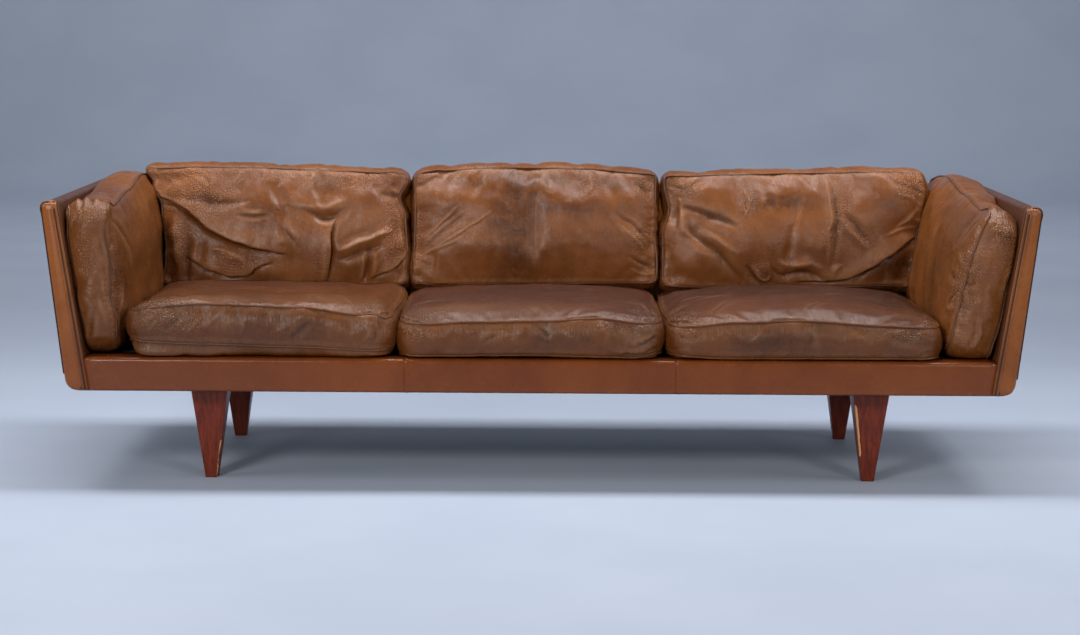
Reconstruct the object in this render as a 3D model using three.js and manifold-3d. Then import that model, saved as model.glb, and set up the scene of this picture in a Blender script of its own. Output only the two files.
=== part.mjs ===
// A long, low three-seat leather sofa on four tapered wooden legs.
// A beech base frame carries two splayed arm boards and a leaning back board, each padded and
// sleeved in leather. Rubber webbing and a cloth deck span the base, and eight loose cushions,
// each a zipped leather cover round a soft insert, lie on and against it.
// Millimetres, +Z up, +X to the sitter's left seen from the front, the front faces -Y.
// The origin is on the floor, under the middle of the sofa's outline.

import * as THREE from "three";
import { mergeVertices } from "three/addons/utils/BufferGeometryUtils.js";
import Module from "manifold-3d";

const wasm = await Module();
wasm.setup();

// ---- driving dimensions -------------------------------------------------------------------

const WIDTH = 2200; // over the arms' tops
const DEPTH = 760; // over the arms' front edges and the back's top edge
const BASE_BOTTOM = 213; // underside of the leather
const DECK_TOP = 288; // top of the leather on the front rail
const ARM_TOP = 631;
const SPLAY = 49; // how much further out the arms and the back stand at the top
const TOP_THICKNESS = 35; // of the upholstered arms and back
const FOOT_THICKNESS = 51;

const GAP = 0.3; // between pieces that touch
const LEATHER = 2; // leather with its lining
const BOARD_THICKNESS = 20;
const BOARD_INSET = 6; // from the leather's outer face to the board
const BOARD_BOTTOM = BASE_BOTTOM + 12;
const RAIL_PADDING = 4; // between the front rail and the leather on it
const RAIL_THICKNESS = 27;
const RAIL_BOTTOM = BASE_BOTTOM + LEATHER + GAP;
const RAIL_TOP = 281;
const WEB = { thickness: 2, width: 50, perSeat: 3 };
const DECK_THICKNESS = 2.1;

const LEG = { x: 744, y: 265, top: 84, foot: 28, height: BASE_BOTTOM + LEATHER, edge: 2 };
const CROSS_RAIL = { width: 100, height: 47 };
const CENTRE_RAIL_WIDTH = 30;
const CORNER_BLOCK = 60;
const BOLT = { radius: 4, headRadius: 9, head: 5, sides: 10 };

const OUTER_RADIUS = 16; // the rounded edges of the arms and the back
const INNER_RADIUS = 6;
const FOOT_RADIUS = 26;

// ---- materials ----------------------------------------------------------------------------

const material = (color, roughness, metalness = 0) =>
  new THREE.MeshStandardMaterial({ color, roughness, metalness });
const FRAME_LEATHER = material(0x824c26, 0.42);
const CUSHION_LEATHER = material(0x7c4c2e, 0.4);
const LEG_WOOD = material(0x7c3524, 0.45);
const BEECH = material(0xc39a6b, 0.7);
const WADDING = material(0xe6dfcc, 0.95);
const TICKING = material(0xd9cfb8, 0.9);
const RUBBER = material(0x6b4a30, 0.8);
const DARK_CLOTH = material(0x1d1a18, 0.95);
const STEEL = material(0x8d9094, 0.4, 0.9);

// ---- solids: closed geometries cut and joined ---------------------------------------------

function solid(geometry) {
  const bare = geometry.clone();
  bare.deleteAttribute("normal");
  bare.deleteAttribute("uv");
  const merged = mergeVertices(bare, 1e-3);
  return new wasm.Manifold(
    new wasm.Mesh({
      numProp: 3,
      vertProperties: new Float32Array(merged.attributes.position.array),
      triVerts: new Uint32Array(merged.index.array),
    }),
  );
}

function geometryOf(made) {
  const mesh = made.getMesh();
  const geometry = new THREE.BufferGeometry();
  geometry.setAttribute("position", new THREE.BufferAttribute(mesh.vertProperties, 3));
  geometry.setIndex(new THREE.BufferAttribute(mesh.triVerts, 1));
  geometry.computeVertexNormals();
  return geometry;
}

const cut = (body, ...tools) => tools.reduce((left, tool) => left.subtract(tool), body);

// A box from its lowest and highest corners.
function block(low, high) {
  const size = high.map((value, i) => value - low[i]);
  const centre = high.map((value, i) => (value + low[i]) / 2);
  return new THREE.BoxGeometry(...size).translate(...centre);
}

// An outline with rounded corners: each corner is [x, y, radius], in order round the outline.
function roundedShape(corners) {
  const shape = new THREE.Shape();
  const point = (i) => new THREE.Vector2(...corners.at(i % corners.length).slice(0, 2));
  corners.forEach(([, , radius], i) => {
    const here = point(i);
    const before = point(i + corners.length - 1).sub(here).setLength(radius).add(here);
    const after = point(i + 1).sub(here).setLength(radius).add(here);
    if (i) shape.lineTo(before.x, before.y);
    else shape.moveTo(before.x, before.y);
    if (radius) shape.quadraticCurveTo(here.x, here.y, after.x, after.y);
  });
  shape.closePath();
  return shape;
}

// An outline in X and Z, carried from y = from to y = to.
function alongY(corners, from, to) {
  const options = { depth: to - from, bevelEnabled: false, curveSegments: 3 };
  return new THREE.ExtrudeGeometry(roundedShape(corners), options)
    .rotateX(Math.PI / 2)
    .translate(0, to, 0);
}

// An outline in Y and Z, carried from x = from to x = to.
function alongX(corners, from, to) {
  const options = { depth: to - from, bevelEnabled: false, curveSegments: 3 };
  return new THREE.ExtrudeGeometry(roundedShape(corners), options)
    .rotateX(Math.PI / 2)
    .rotateZ(Math.PI / 2)
    .translate(from, 0, 0);
}

const rod = (radius, length) => new THREE.CylinderGeometry(radius, radius, length, BOLT.sides);

// ---- the group ----------------------------------------------------------------------------

const sofa = new THREE.Group();
sofa.name = "leather_sofa";

function add(name, geometry, surface, place = [0, 0, 0], parent = sofa) {
  const mesh = new THREE.Mesh(geometry, surface);
  mesh.name = name;
  mesh.position.set(...place);
  parent.add(mesh);
  return mesh;
}

const addSolid = (name, made, surface) => add(name, geometryOf(made), surface);

// ---- the upholstered slabs: both arms and the back share one section -----------------------

// The slab's section: u runs outwards from the sofa, and inset takes it in on every side.
function slabSection(outerTop, inset = 0, foot = BASE_BOTTOM + inset) {
  const rise = (z) => (z - BASE_BOTTOM) / (ARM_TOP - BASE_BOTTOM);
  const outer = (z) => outerTop - SPLAY * (1 - rise(z)) - inset;
  const thickness = (z) => THREE.MathUtils.lerp(FOOT_THICKNESS, TOP_THICKNESS, rise(z));
  const inner = (z) => outer(z) + 2 * inset - thickness(z);
  const top = ARM_TOP - inset;
  return [
    [inner(foot), foot, 0],
    [outer(foot), foot, Math.max(FOOT_RADIUS - inset, 1)],
    [outer(top), top, Math.max(OUTER_RADIUS - inset, 1)],
    [inner(top), top, Math.max(INNER_RADIUS - inset, 1)],
  ];
}

// The board inside a slab: as thick all the way up, and parallel to the slab's outer face.
function boardSection(outerTop, grow = 0, foot = BOARD_BOTTOM) {
  const outer = (z) => outerTop - (SPLAY * (ARM_TOP - z)) / (ARM_TOP - BASE_BOTTOM) - BOARD_INSET;
  const top = ARM_TOP - BOARD_INSET + grow;
  return [
    [outer(foot) - BOARD_THICKNESS - grow, foot, 0],
    [outer(foot) + grow, foot, 0],
    [outer(top) + grow, top, 0],
    [outer(top) - BOARD_THICKNESS - grow, top, 0],
  ];
}

// A slab's leather is open underneath, between the two edges that are turned in and tacked.
const TACKED_EDGE = 14;
const mirrored = (made) => made.mirror([1, 0, 0]);
const halfDepth = DEPTH / 2;
const behind = (inset) =>
  solid(
    alongX(
      [
        [halfDepth - SPLAY - inset - SPLAY * 0.1, BASE_BOTTOM - (ARM_TOP - BASE_BOTTOM) * 0.1, 0],
        [halfDepth + SPLAY, BASE_BOTTOM - (ARM_TOP - BASE_BOTTOM) * 0.1, 0],
        [halfDepth + SPLAY, ARM_TOP + 1, 0],
        [halfDepth - inset, ARM_TOP, 0],
      ],
      0,
      WIDTH,
    ),
  );

function armSlab(inset, foot) {
  const section = slabSection(WIDTH / 2, inset, foot);
  return solid(alongY(section, inset - halfDepth, halfDepth)).subtract(behind(inset));
}

function backSlab(inset, foot) {
  const half = WIDTH / 2 - TOP_THICKNESS;
  return solid(alongX(slabSection(halfDepth, inset, foot), -half, half));
}

const armBolts = [-200, 140].map((y) => ({ y, z: 250, from: 971, to: 1030 }));

function armBoltSpace(radius) {
  return armBolts
    .map(({ y, z, from, to }) =>
      solid(rod(radius, to - from).rotateZ(Math.PI / 2).translate((from + to) / 2, y, z)),
    )
    .reduce((all, one) => all.add(one));
}

function makeArms() {
  const outside = WIDTH / 2 - SPLAY;
  const slot = solid(
    block(
      [outside - FOOT_THICKNESS + TACKED_EDGE, 40 - halfDepth, BASE_BOTTOM - 1],
      [outside - TACKED_EDGE, halfDepth - SPLAY - 40, BASE_BOTTOM + LEATHER + 1],
    ),
  );
  const boltSpace = armBoltSpace(BOLT.radius + GAP);
  const boardLength = [BOARD_INSET - halfDepth, halfDepth];
  const board = solid(alongY(boardSection(WIDTH / 2), ...boardLength))
    .subtract(behind(BOARD_INSET))
    .subtract(boltSpace);
  const boardSpace = solid(
    alongY(boardSection(WIDTH / 2, GAP, RAIL_BOTTOM - 1), boardLength[0] - GAP, boardLength[1]),
  ).subtract(behind(BOARD_INSET - GAP));
  const cover = cut(armSlab(0), armSlab(LEATHER), slot, boltSpace);
  const padding = cut(armSlab(LEATHER + GAP, RAIL_BOTTOM), boardSpace, boltSpace);
  for (const [side, turn] of [["right", (made) => made], ["left", mirrored]]) {
    addSolid(`arm_board_${side}`, turn(board), BEECH);
    addSolid(`arm_padding_${side}`, turn(padding), WADDING);
    addSolid(`arm_cover_${side}`, turn(cover), FRAME_LEATHER);
  }
}

// Everything beyond the arms' inner faces, less a gap: it trims what stands between the arms.
function beyondArms(gap) {
  const low = BASE_BOTTOM - 5;
  const high = ARM_TOP + 5;
  const inner = (z) => slabSection(WIDTH / 2, 0, z)[0][0] - gap;
  const corners = [[inner(low), low, 0], [WIDTH, low, 0], [WIDTH, high, 0], [inner(high), high, 0]];
  const one = solid(alongY(corners, -halfDepth - 5, halfDepth + 5));
  return one.add(mirrored(one));
}

// The square room that each leg takes up at the sofa's underside.
function legSpaces() {
  const reach = LEG.top / 2 + 1;
  const places = [-LEG.x, LEG.x].flatMap((x) => [-LEG.y, LEG.y].map((y) => [x, y]));
  return places.map(([x, y]) =>
    solid(block([x - reach, y - reach, BASE_BOTTOM - 3], [x + reach, y + reach, RAIL_BOTTOM])),
  );
}

function makeBack() {
  const slot = solid(
    block(
      [60 - WIDTH / 2, halfDepth - SPLAY - FOOT_THICKNESS + TACKED_EDGE, BASE_BOTTOM - 1],
      [WIDTH / 2 - 60, halfDepth - SPLAY - TACKED_EDGE, BASE_BOTTOM + LEATHER + 1],
    ),
  );
  const half = WIDTH / 2 - TOP_THICKNESS;
  const between = (slab, gap) => slab.subtract(beyondArms(GAP + gap));
  const spaceSection = boardSection(halfDepth, GAP, RAIL_BOTTOM - 1);
  const boardSpace = between(solid(alongX(spaceSection, -half, half)), BOARD_INSET);
  const board = between(solid(alongX(boardSection(halfDepth), -half, half)), BOARD_INSET + GAP);
  const padding = between(backSlab(LEATHER + GAP, RAIL_BOTTOM), LEATHER + GAP);
  addSolid("back_board", board, BEECH);
  addSolid("back_padding", cut(padding, boardSpace), WADDING);
  const cavity = between(backSlab(LEATHER), LEATHER);
  addSolid("back_cover", cut(between(backSlab(0), 0), cavity, slot, ...legSpaces()), FRAME_LEATHER);
}

// ---- the base frame -----------------------------------------------------------------------

const frontRailBack = -halfDepth + LEATHER + RAIL_PADDING + RAIL_THICKNESS;
const backInner = halfDepth - SPLAY - FOOT_THICKNESS; // the back's inner face at its foot
const rearRailBack = backInner - GAP;
const rearRailFront = rearRailBack - RAIL_THICKNESS;
const armInner = WIDTH / 2 - SPLAY - FOOT_THICKNESS; // an arm's inner face at its foot
const sideRailOutside = armInner - GAP;

function legBoltSpace() {
  const from = 150 - GAP;
  const to = 254 + GAP;
  const spaces = [];
  for (const x of [-LEG.x, LEG.x])
    for (const y of [-LEG.y, LEG.y]) {
      const one = rod(BOLT.radius + GAP, to - from).rotateX(Math.PI / 2);
      spaces.push(solid(one.translate(x, y, (from + to) / 2)));
    }
  return spaces.reduce((all, one) => all.add(one));
}

function makeRails() {
  const bolts = legBoltSpace();
  const beam = (low, high) => solid(block([...low, RAIL_BOTTOM], high));
  const length = sideRailOutside;
  const frontRail = beam([-length, frontRailBack - RAIL_THICKNESS], [length, frontRailBack, RAIL_TOP]);
  addSolid("front_rail", frontRail, BEECH);
  const rearRail = beam([-length, rearRailFront], [length, rearRailBack, RAIL_TOP]);
  addSolid("rear_rail", cut(rearRail, bolts), BEECH);

  const inside = [frontRailBack + GAP, rearRailFront - GAP];
  const sideRail = beam(
    [sideRailOutside - RAIL_THICKNESS, inside[0]],
    [sideRailOutside, inside[1], RAIL_TOP],
  ).subtract(armBoltSpace(BOLT.radius + GAP));
  addSolid("side_rail_right", sideRail, BEECH);
  addSolid("side_rail_left", mirrored(sideRail), BEECH);

  const top = RAIL_BOTTOM + CROSS_RAIL.height;
  for (const [side, x] of [["left", -LEG.x], ["right", LEG.x]]) {
    const half = CROSS_RAIL.width / 2;
    const rail = beam([x - half, inside[0]], [x + half, inside[1], top]);
    addSolid(`cross_rail_${side}`, cut(rail, bolts), BEECH);
  }
  const half = CENTRE_RAIL_WIDTH / 2;
  addSolid("centre_rail", beam([-half, inside[0]], [half, inside[1], top]), BEECH);
}

function makeCornerBlocks() {
  const x = sideRailOutside - RAIL_THICKNESS - GAP;
  const ends = { front: [frontRailBack + GAP, 1], rear: [rearRailFront - GAP, -1] };
  for (const [end, [y, inwards]] of Object.entries(ends))
    for (const [side, s] of [["left", -1], ["right", 1]]) {
      const shape = new THREE.Shape([
        new THREE.Vector2(s * x, y),
        new THREE.Vector2(s * (x - CORNER_BLOCK), y),
        new THREE.Vector2(s * x, y + inwards * CORNER_BLOCK),
      ]);
      const options = { depth: CORNER_BLOCK, bevelEnabled: false };
      const prism = new THREE.ExtrudeGeometry(shape, options);
      add(`corner_block_${end}_${side}`, prism, BEECH, [0, 0, RAIL_BOTTOM]);
    }
}

// The leather that wraps the front rail: over its top, down its face and turned in underneath.
function makeFrontRailCover() {
  const front = -halfDepth;
  const flapBack = front + 80;
  const tackedBack = front + 36;
  const outer = [
    [flapBack, DECK_TOP, 0],
    [front, DECK_TOP, 9],
    [front, BASE_BOTTOM, 7],
    [tackedBack, BASE_BOTTOM, 0],
    [tackedBack, BASE_BOTTOM + LEATHER, 0],
    [front + LEATHER, BASE_BOTTOM + LEATHER, 5],
    [front + LEATHER, DECK_TOP - LEATHER, 7],
    [flapBack, DECK_TOP - LEATHER, 0],
  ];
  const wrap = solid(alongX(outer, -WIDTH / 2, WIDTH / 2)).subtract(beyondArms(GAP));
  addSolid("front_rail_cover", wrap, FRAME_LEATHER);
}

// ---- legs ---------------------------------------------------------------------------------

// A square leg that tapers evenly to its foot, with its long edges just broken.
function legGeometry() {
  const ring = (size) => {
    const half = size / 2;
    const flat = half - LEG.edge;
    return [
      [half, flat], [flat, half], [-flat, half], [-half, flat],
      [-half, -flat], [-flat, -half], [flat, -half], [half, -flat],
    ];
  };
  const foot = ring(LEG.foot);
  const top = ring(LEG.top);
  const n = foot.length;
  const points = [
    ...foot.map(([x, y]) => [x, y, 0]),
    ...top.map(([x, y]) => [x, y, LEG.height - GAP / 2]),
  ];
  const faces = [];
  for (let i = 0; i < n; i++) {
    const j = (i + 1) % n;
    faces.push(i, j, n + j, i, n + j, n + i);
    if (i > 0 && i < n - 1) faces.push(0, i + 1, i, n, n + i, n + i + 1);
  }
  const geometry = new THREE.BufferGeometry();
  geometry.setAttribute("position", new THREE.Float32BufferAttribute(points.flat(), 3));
  geometry.setIndex(faces);
  return geometry;
}

function makeLegs() {
  const boltLow = 150;
  const boltHigh = 254;
  const length = boltHigh - boltLow;
  const bore = solid(
    rod(BOLT.radius + GAP, length + 2 * GAP).rotateX(Math.PI / 2).translate(0, 0, (boltLow + boltHigh) / 2),
  );
  const leg = geometryOf(solid(legGeometry()).subtract(bore));
  for (const [end, y] of [["front", -LEG.y], ["rear", LEG.y]])
    for (const [side, x] of [["left", -LEG.x], ["right", LEG.x]]) {
      const group = new THREE.Group();
      group.position.set(x, y, 0);
      sofa.add(group);
      add(`leg_${end}_${side}`, leg, LEG_WOOD, [0, 0, 0], group);
      const bolt = rod(BOLT.radius, length).rotateX(Math.PI / 2);
      add(`leg_bolt_${end}_${side}`, bolt, STEEL, [0, 0, (boltLow + boltHigh) / 2], group);
    }
}

// A bolt through each side rail into the arm's board, with its head inside the base.
function makeArmBolts() {
  for (const { y, z, from, to } of armBolts)
    for (const [side, s] of [["left", -1], ["right", 1]]) {
      const railFace = sideRailOutside - RAIL_THICKNESS - GAP;
      const head = rod(BOLT.headRadius, BOLT.head).rotateZ(Math.PI / 2);
      const shank = rod(BOLT.radius, to - railFace).rotateZ(Math.PI / 2);
      const made = solid(head.translate(railFace - BOLT.head / 2, y, z)).add(
        solid(shank.translate((railFace + to) / 2 - 1, y, z)),
      );
      const end = y < 0 ? "front" : "rear";
      addSolid(`arm_bolt_${end}_${side}`, s < 0 ? mirrored(made) : made, STEEL);
    }
}

// ---- seat: cushions, webbing, deck and dust cover ------------------------------------------

const CUSHION_BOTTOM = DECK_TOP + GAP;
const SEAT = { top: 400, front: -372, rear: 279 };
const BACK = { bottom: 400.4, top: 687, front: [122, 192], rear: [299, 339] };
const ARM_PAD = { top: 652, front: -334, rear: [283, 336], outer: [1009, 1061], inner: [921, 947] };

// Loose cushions that have shifted a little in use: the places between them along X.
const SEAT_EDGES = { left: [-920, -325], middle: [-318, 273], right: [281, 893] };
const BACK_EDGES = {
  left: { bottom: [-905, -320], top: [-939, -320] },
  middle: { bottom: [-313, 284], top: [-313, 284] },
  right: { bottom: [291, 903], top: [291, 937] },
};

// A crowned pad in a box whose X and Y ranges may differ at its bottom and its top.
const CROWN = 5.5; // higher is squarer
function padGeometry({ z, bottom, top }, thinner = 0) {
  const geometry = new THREE.BoxGeometry(2, 2, 2, 6, 6, 4);
  geometry.deleteAttribute("normal");
  geometry.deleteAttribute("uv");
  const merged = mergeVertices(geometry, 1e-3);
  const at = merged.attributes.position;
  const { lerp } = THREE.MathUtils;
  const within = ([low, high], t) => lerp(low + thinner, high - thinner, (t + 1) / 2);
  for (let i = 0; i < at.count; i++) {
    const cube = [at.getX(i), at.getY(i), at.getZ(i)];
    const size = cube.reduce((sum, c) => sum + Math.abs(c) ** CROWN, 0) ** (1 / CROWN);
    const [u, v, w] = cube.map((c) => c / size);
    const height = within(z, w);
    const rise = (height - z[0]) / (z[1] - z[0]);
    const range = (key) => bottom[key].map((value, k) => lerp(value, top[key][k], rise));
    at.setXYZ(i, within(range("x"), u), within(range("y"), v), height);
  }
  return merged;
}

// A leather cover with a zip's slot in its rear or lower border, and the insert inside it.
function makeCushion(name, space, slotLow, slotHigh) {
  const cavity = solid(padGeometry(space, LEATHER));
  const slot = solid(block(slotLow, slotHigh));
  addSolid(`${name}_cover`, cut(solid(padGeometry(space)), cavity, slot), CUSHION_LEATHER);
  add(`${name}_insert`, padGeometry(space, LEATHER + 2 * GAP), TICKING);
}

const ZIP = { half: 180, gap: 6, reach: 40 };

function makeSeatCushions() {
  for (const [side, x] of Object.entries(SEAT_EDGES)) {
    const plan = { x, y: [SEAT.front, SEAT.rear] };
    const space = { z: [CUSHION_BOTTOM, SEAT.top], bottom: plan, top: plan };
    const middle = (x[0] + x[1]) / 2;
    const height = (CUSHION_BOTTOM + SEAT.top) / 2;
    makeCushion(
      `seat_cushion_${side}`,
      space,
      [middle - ZIP.half, SEAT.rear - ZIP.reach, height - ZIP.gap / 2],
      [middle + ZIP.half, SEAT.rear + 1, height + ZIP.gap / 2],
    );
  }
}

function makeBackCushions() {
  for (const [side, { bottom, top }] of Object.entries(BACK_EDGES)) {
    const space = {
      z: [BACK.bottom, BACK.top],
      bottom: { x: bottom, y: [BACK.front[0], BACK.rear[0]] },
      top: { x: top, y: [BACK.front[1], BACK.rear[1]] },
    };
    const middle = (bottom[0] + bottom[1]) / 2;
    const depth = (BACK.front[0] + BACK.rear[0]) / 2;
    makeCushion(
      `back_cushion_${side}`,
      space,
      [middle - ZIP.half, depth - ZIP.gap / 2, BACK.bottom - 1],
      [middle + ZIP.half, depth + ZIP.gap / 2, BACK.bottom + ZIP.reach],
    );
  }
}

function makeArmCushions() {
  for (const [side, s] of [["left", -1], ["right", 1]]) {
    const across = (k) => [s * ARM_PAD.inner[k], s * ARM_PAD.outer[k]].sort((a, b) => a - b);
    const space = {
      z: [CUSHION_BOTTOM, ARM_PAD.top],
      bottom: { x: across(0), y: [ARM_PAD.front, ARM_PAD.rear[0]] },
      top: { x: across(1), y: [ARM_PAD.front, ARM_PAD.rear[1]] },
    };
    const middle = (across(0)[0] + across(0)[1]) / 2;
    makeCushion(
      `arm_cushion_${side}`,
      space,
      [middle - ZIP.gap / 2, -ZIP.half, CUSHION_BOTTOM - 1],
      [middle + ZIP.gap / 2, ZIP.half, CUSHION_BOTTOM + ZIP.reach],
    );
  }
}

function makeWebbing() {
  const low = RAIL_TOP + GAP;
  const straps = WEB.perSeat * 3;
  const pitch = (2 * armInner) / straps;
  const from = frontRailBack - RAIL_THICKNESS + 4;
  const to = rearRailBack - 4;
  for (let i = 0; i < straps; i++) {
    const strap = block([-WEB.width / 2, from, low], [WEB.width / 2, to, low + WEB.thickness]);
    add(`webbing_strap_${i + 1}`, strap, RUBBER, [(i - (straps - 1) / 2) * pitch, 0, 0]);
  }
}

function makeDeck() {
  const low = RAIL_TOP + WEB.thickness + 2 * GAP;
  const high = low + DECK_THICKNESS;
  const half = armInner + 5;
  const from = -halfDepth + 14;
  add("seat_deck", block([-half, from, low], [half, rearRailBack + 4, high]), DARK_CLOTH);
}

function makeDustCover() {
  const thickness = 0.7;
  const low = BASE_BOTTOM - GAP - thickness;
  const hem = 12;
  const half = WIDTH / 2 - SPLAY - hem - 12;
  const sheet = solid(
    block([-half, hem - halfDepth, low], [half, halfDepth - SPLAY - hem, low + thickness]),
  );
  addSolid("dust_cover", cut(sheet, ...legSpaces()), DARK_CLOTH);
}

makeRails();
makeCornerBlocks();
makeArms();
makeArmBolts();
makeBack();
makeFrontRailCover();
makeLegs();
makeWebbing();
makeDeck();
makeDustCover();
makeSeatCushions();
makeBackCushions();
makeArmCushions();

export default sofa;
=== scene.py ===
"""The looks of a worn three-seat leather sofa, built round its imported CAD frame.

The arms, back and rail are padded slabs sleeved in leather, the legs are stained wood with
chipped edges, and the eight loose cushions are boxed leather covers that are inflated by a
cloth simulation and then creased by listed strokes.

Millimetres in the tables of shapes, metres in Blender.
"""

import math

import bpy
import numpy as np
from mathutils import Matrix, Vector


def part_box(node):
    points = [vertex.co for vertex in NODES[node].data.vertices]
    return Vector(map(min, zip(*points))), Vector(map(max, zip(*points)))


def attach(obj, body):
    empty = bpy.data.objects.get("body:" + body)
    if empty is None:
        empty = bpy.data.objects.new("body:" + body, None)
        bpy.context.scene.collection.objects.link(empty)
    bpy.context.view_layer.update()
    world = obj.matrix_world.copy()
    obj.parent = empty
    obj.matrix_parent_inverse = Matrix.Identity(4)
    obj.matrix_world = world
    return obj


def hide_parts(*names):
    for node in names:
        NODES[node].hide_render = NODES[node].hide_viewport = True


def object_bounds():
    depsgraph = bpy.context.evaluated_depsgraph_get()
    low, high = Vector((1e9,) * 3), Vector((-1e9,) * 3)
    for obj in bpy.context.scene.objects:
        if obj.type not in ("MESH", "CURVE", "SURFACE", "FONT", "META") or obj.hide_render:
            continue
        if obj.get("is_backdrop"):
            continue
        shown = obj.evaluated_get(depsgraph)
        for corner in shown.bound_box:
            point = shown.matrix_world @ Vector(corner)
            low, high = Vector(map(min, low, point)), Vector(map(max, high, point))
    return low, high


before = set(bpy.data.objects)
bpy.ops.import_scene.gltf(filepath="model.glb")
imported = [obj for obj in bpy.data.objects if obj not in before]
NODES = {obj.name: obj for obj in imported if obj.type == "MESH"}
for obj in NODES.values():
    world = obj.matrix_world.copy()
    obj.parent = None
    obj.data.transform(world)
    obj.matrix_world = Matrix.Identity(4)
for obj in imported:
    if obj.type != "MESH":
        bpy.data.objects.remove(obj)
CAD_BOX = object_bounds()
MM = 0.001


def cad_box(node):
    """The lowest and highest corner of a CAD node, in millimetres."""
    low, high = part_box(node)
    return np.array(low) / MM, np.array(high) / MM


ARM_LOW, ARM_HIGH = cad_box("arm_cover_right")
RAIL_LOW, RAIL_HIGH = cad_box("front_rail_cover")
FRONT = ARM_LOW[1]
REAR = ARM_HIGH[1]
BASE_BOTTOM = ARM_LOW[2]
ARM_TOP = ARM_HIGH[2]
DECK = RAIL_HIGH[2]
TINY = 1e-9  # keeps a division away from zero


# ---- small tools --------------------------------------------------------------------------


def smooth(t):
    """0 up to t = 0, 1 from t = 1 on, with an easy rise between them."""
    t = np.clip(t, 0.0, 1.0)
    return t * t * (3 - 2 * t)


def bell(distance, reach, power=2.0):
    """1 on the spot, fading away over about twice the reach."""
    return np.exp(-((distance / reach) ** power))


def eased(points, t):
    """Values at t along a short list of (t, value, ...) rows, eased from one to the next."""
    rows = np.array(points, float)
    t = np.asarray(t, float)
    k = np.clip(np.searchsorted(rows[:, 0], t, side="right") - 1, 0, len(rows) - 2)
    span = rows[k + 1, 0] - rows[k, 0]
    share = smooth((t - rows[k, 0]) / np.maximum(span, TINY))
    return rows[k, 1:] + (rows[k + 1, 1:] - rows[k, 1:]) * share[..., None]


def curve_through(points, count):
    """A smooth open curve through a few points, as evenly numbered points (Catmull-Rom)."""
    p = np.array(points, float)
    p = np.vstack([2 * p[0] - p[1], p, 2 * p[-1] - p[-2]])
    t = np.linspace(0, len(p) - 3, count)
    k = np.minimum(t.astype(int), len(p) - 4)
    f = (t - k)[:, None]
    a, b, c, d = p[k], p[k + 1], p[k + 2], p[k + 3]
    return 0.5 * (
        2 * b + (c - a) * f + (2 * a - 5 * b + 4 * c - d) * f**2 + (3 * b - a - 3 * c + d) * f**3
    )


def new_piece(name, points, faces, material, slot):
    """A mesh object from points in millimetres, riding the sofa's one body."""
    mesh = bpy.data.meshes.new(name)
    mesh.from_pydata((np.asarray(points) * MM).tolist(), [], faces)
    mesh.validate()
    mesh.polygons.foreach_set("use_smooth", [True] * len(mesh.polygons))
    piece = bpy.data.objects.new(name, mesh)
    bpy.context.scene.collection.objects.link(piece)
    if material:
        mesh.materials.append(material)
    if slot:
        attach(piece, "root")
    return piece


NO_TUBE_RUNS = np.array([0.31, 0.47, 0.83])  # a direction that no tube runs along


def tube(path, radius, sides=8, closed=False):
    """Points and faces of a round tube along a path, with its ends closed."""
    path = np.asarray(path, float)
    n = len(path)
    if closed:
        along = np.roll(path, -1, 0) - np.roll(path, 1, 0)
    else:
        along = np.gradient(path, axis=0)
    along /= np.linalg.norm(along, axis=1)[:, None] + TINY
    side = np.cross(along, NO_TUBE_RUNS)
    side /= np.linalg.norm(side, axis=1)[:, None]
    for i in range(1, n):
        carried = side[i - 1] - along[i] * np.dot(side[i - 1], along[i])
        side[i] = carried / np.linalg.norm(carried)
    other = np.cross(along, side)
    angle = np.linspace(0, 2 * np.pi, sides, endpoint=False)[None, :, None]
    ring = side[:, None] * np.cos(angle) + other[:, None] * np.sin(angle)
    points = (path[:, None] + ring * radius).reshape(-1, 3)
    faces = []
    for i in range(n if closed else n - 1):
        a = i * sides
        b = ((i + 1) % n) * sides
        for j in range(sides):
            k = (j + 1) % sides
            faces.append((a + j, a + k, b + k, b + j))
    if not closed:
        faces.append(tuple(range(sides - 1, -1, -1)))
        faces.append(tuple(range((n - 1) * sides, n * sides)))
    return points, faces


def joined(parts):
    """Several (points, faces) meshes as one."""
    points, faces, start = [], [], 0
    for p, f in parts:
        points.append(p)
        faces += [tuple(i + start for i in face) for face in f]
        start += len(p)
    return np.vstack(points), faces


def set_attribute(piece, name, values):
    """Gives every point of a piece a number that its material reads by this name."""
    data = piece.data.attributes.get(name) or piece.data.attributes.new(name, "FLOAT", "POINT")
    data.data.foreach_set("value", np.asarray(values, np.float32))


def get_attribute(piece, name):
    values = np.zeros(len(piece.data.vertices), np.float32)
    piece.data.attributes[name].data.foreach_get("value", values)
    return values


def places(piece):
    """Where a piece's points are, in millimetres."""
    co = np.zeros(len(piece.data.vertices) * 3)
    piece.data.vertices.foreach_get("co", co)
    return co.reshape(-1, 3) / MM


def set_places(piece, points):
    piece.data.vertices.foreach_set("co", (points * MM).ravel())
    piece.data.update()


def normals(piece):
    out = np.zeros(len(piece.data.vertices) * 3)
    piece.data.vertex_normals.foreach_get("vector", out)
    return out.reshape(-1, 3)


# ---- materials ----------------------------------------------------------------------------


LEATHER_SHEEN = 0.34
WOOD_SHEEN = 0.22


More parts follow.
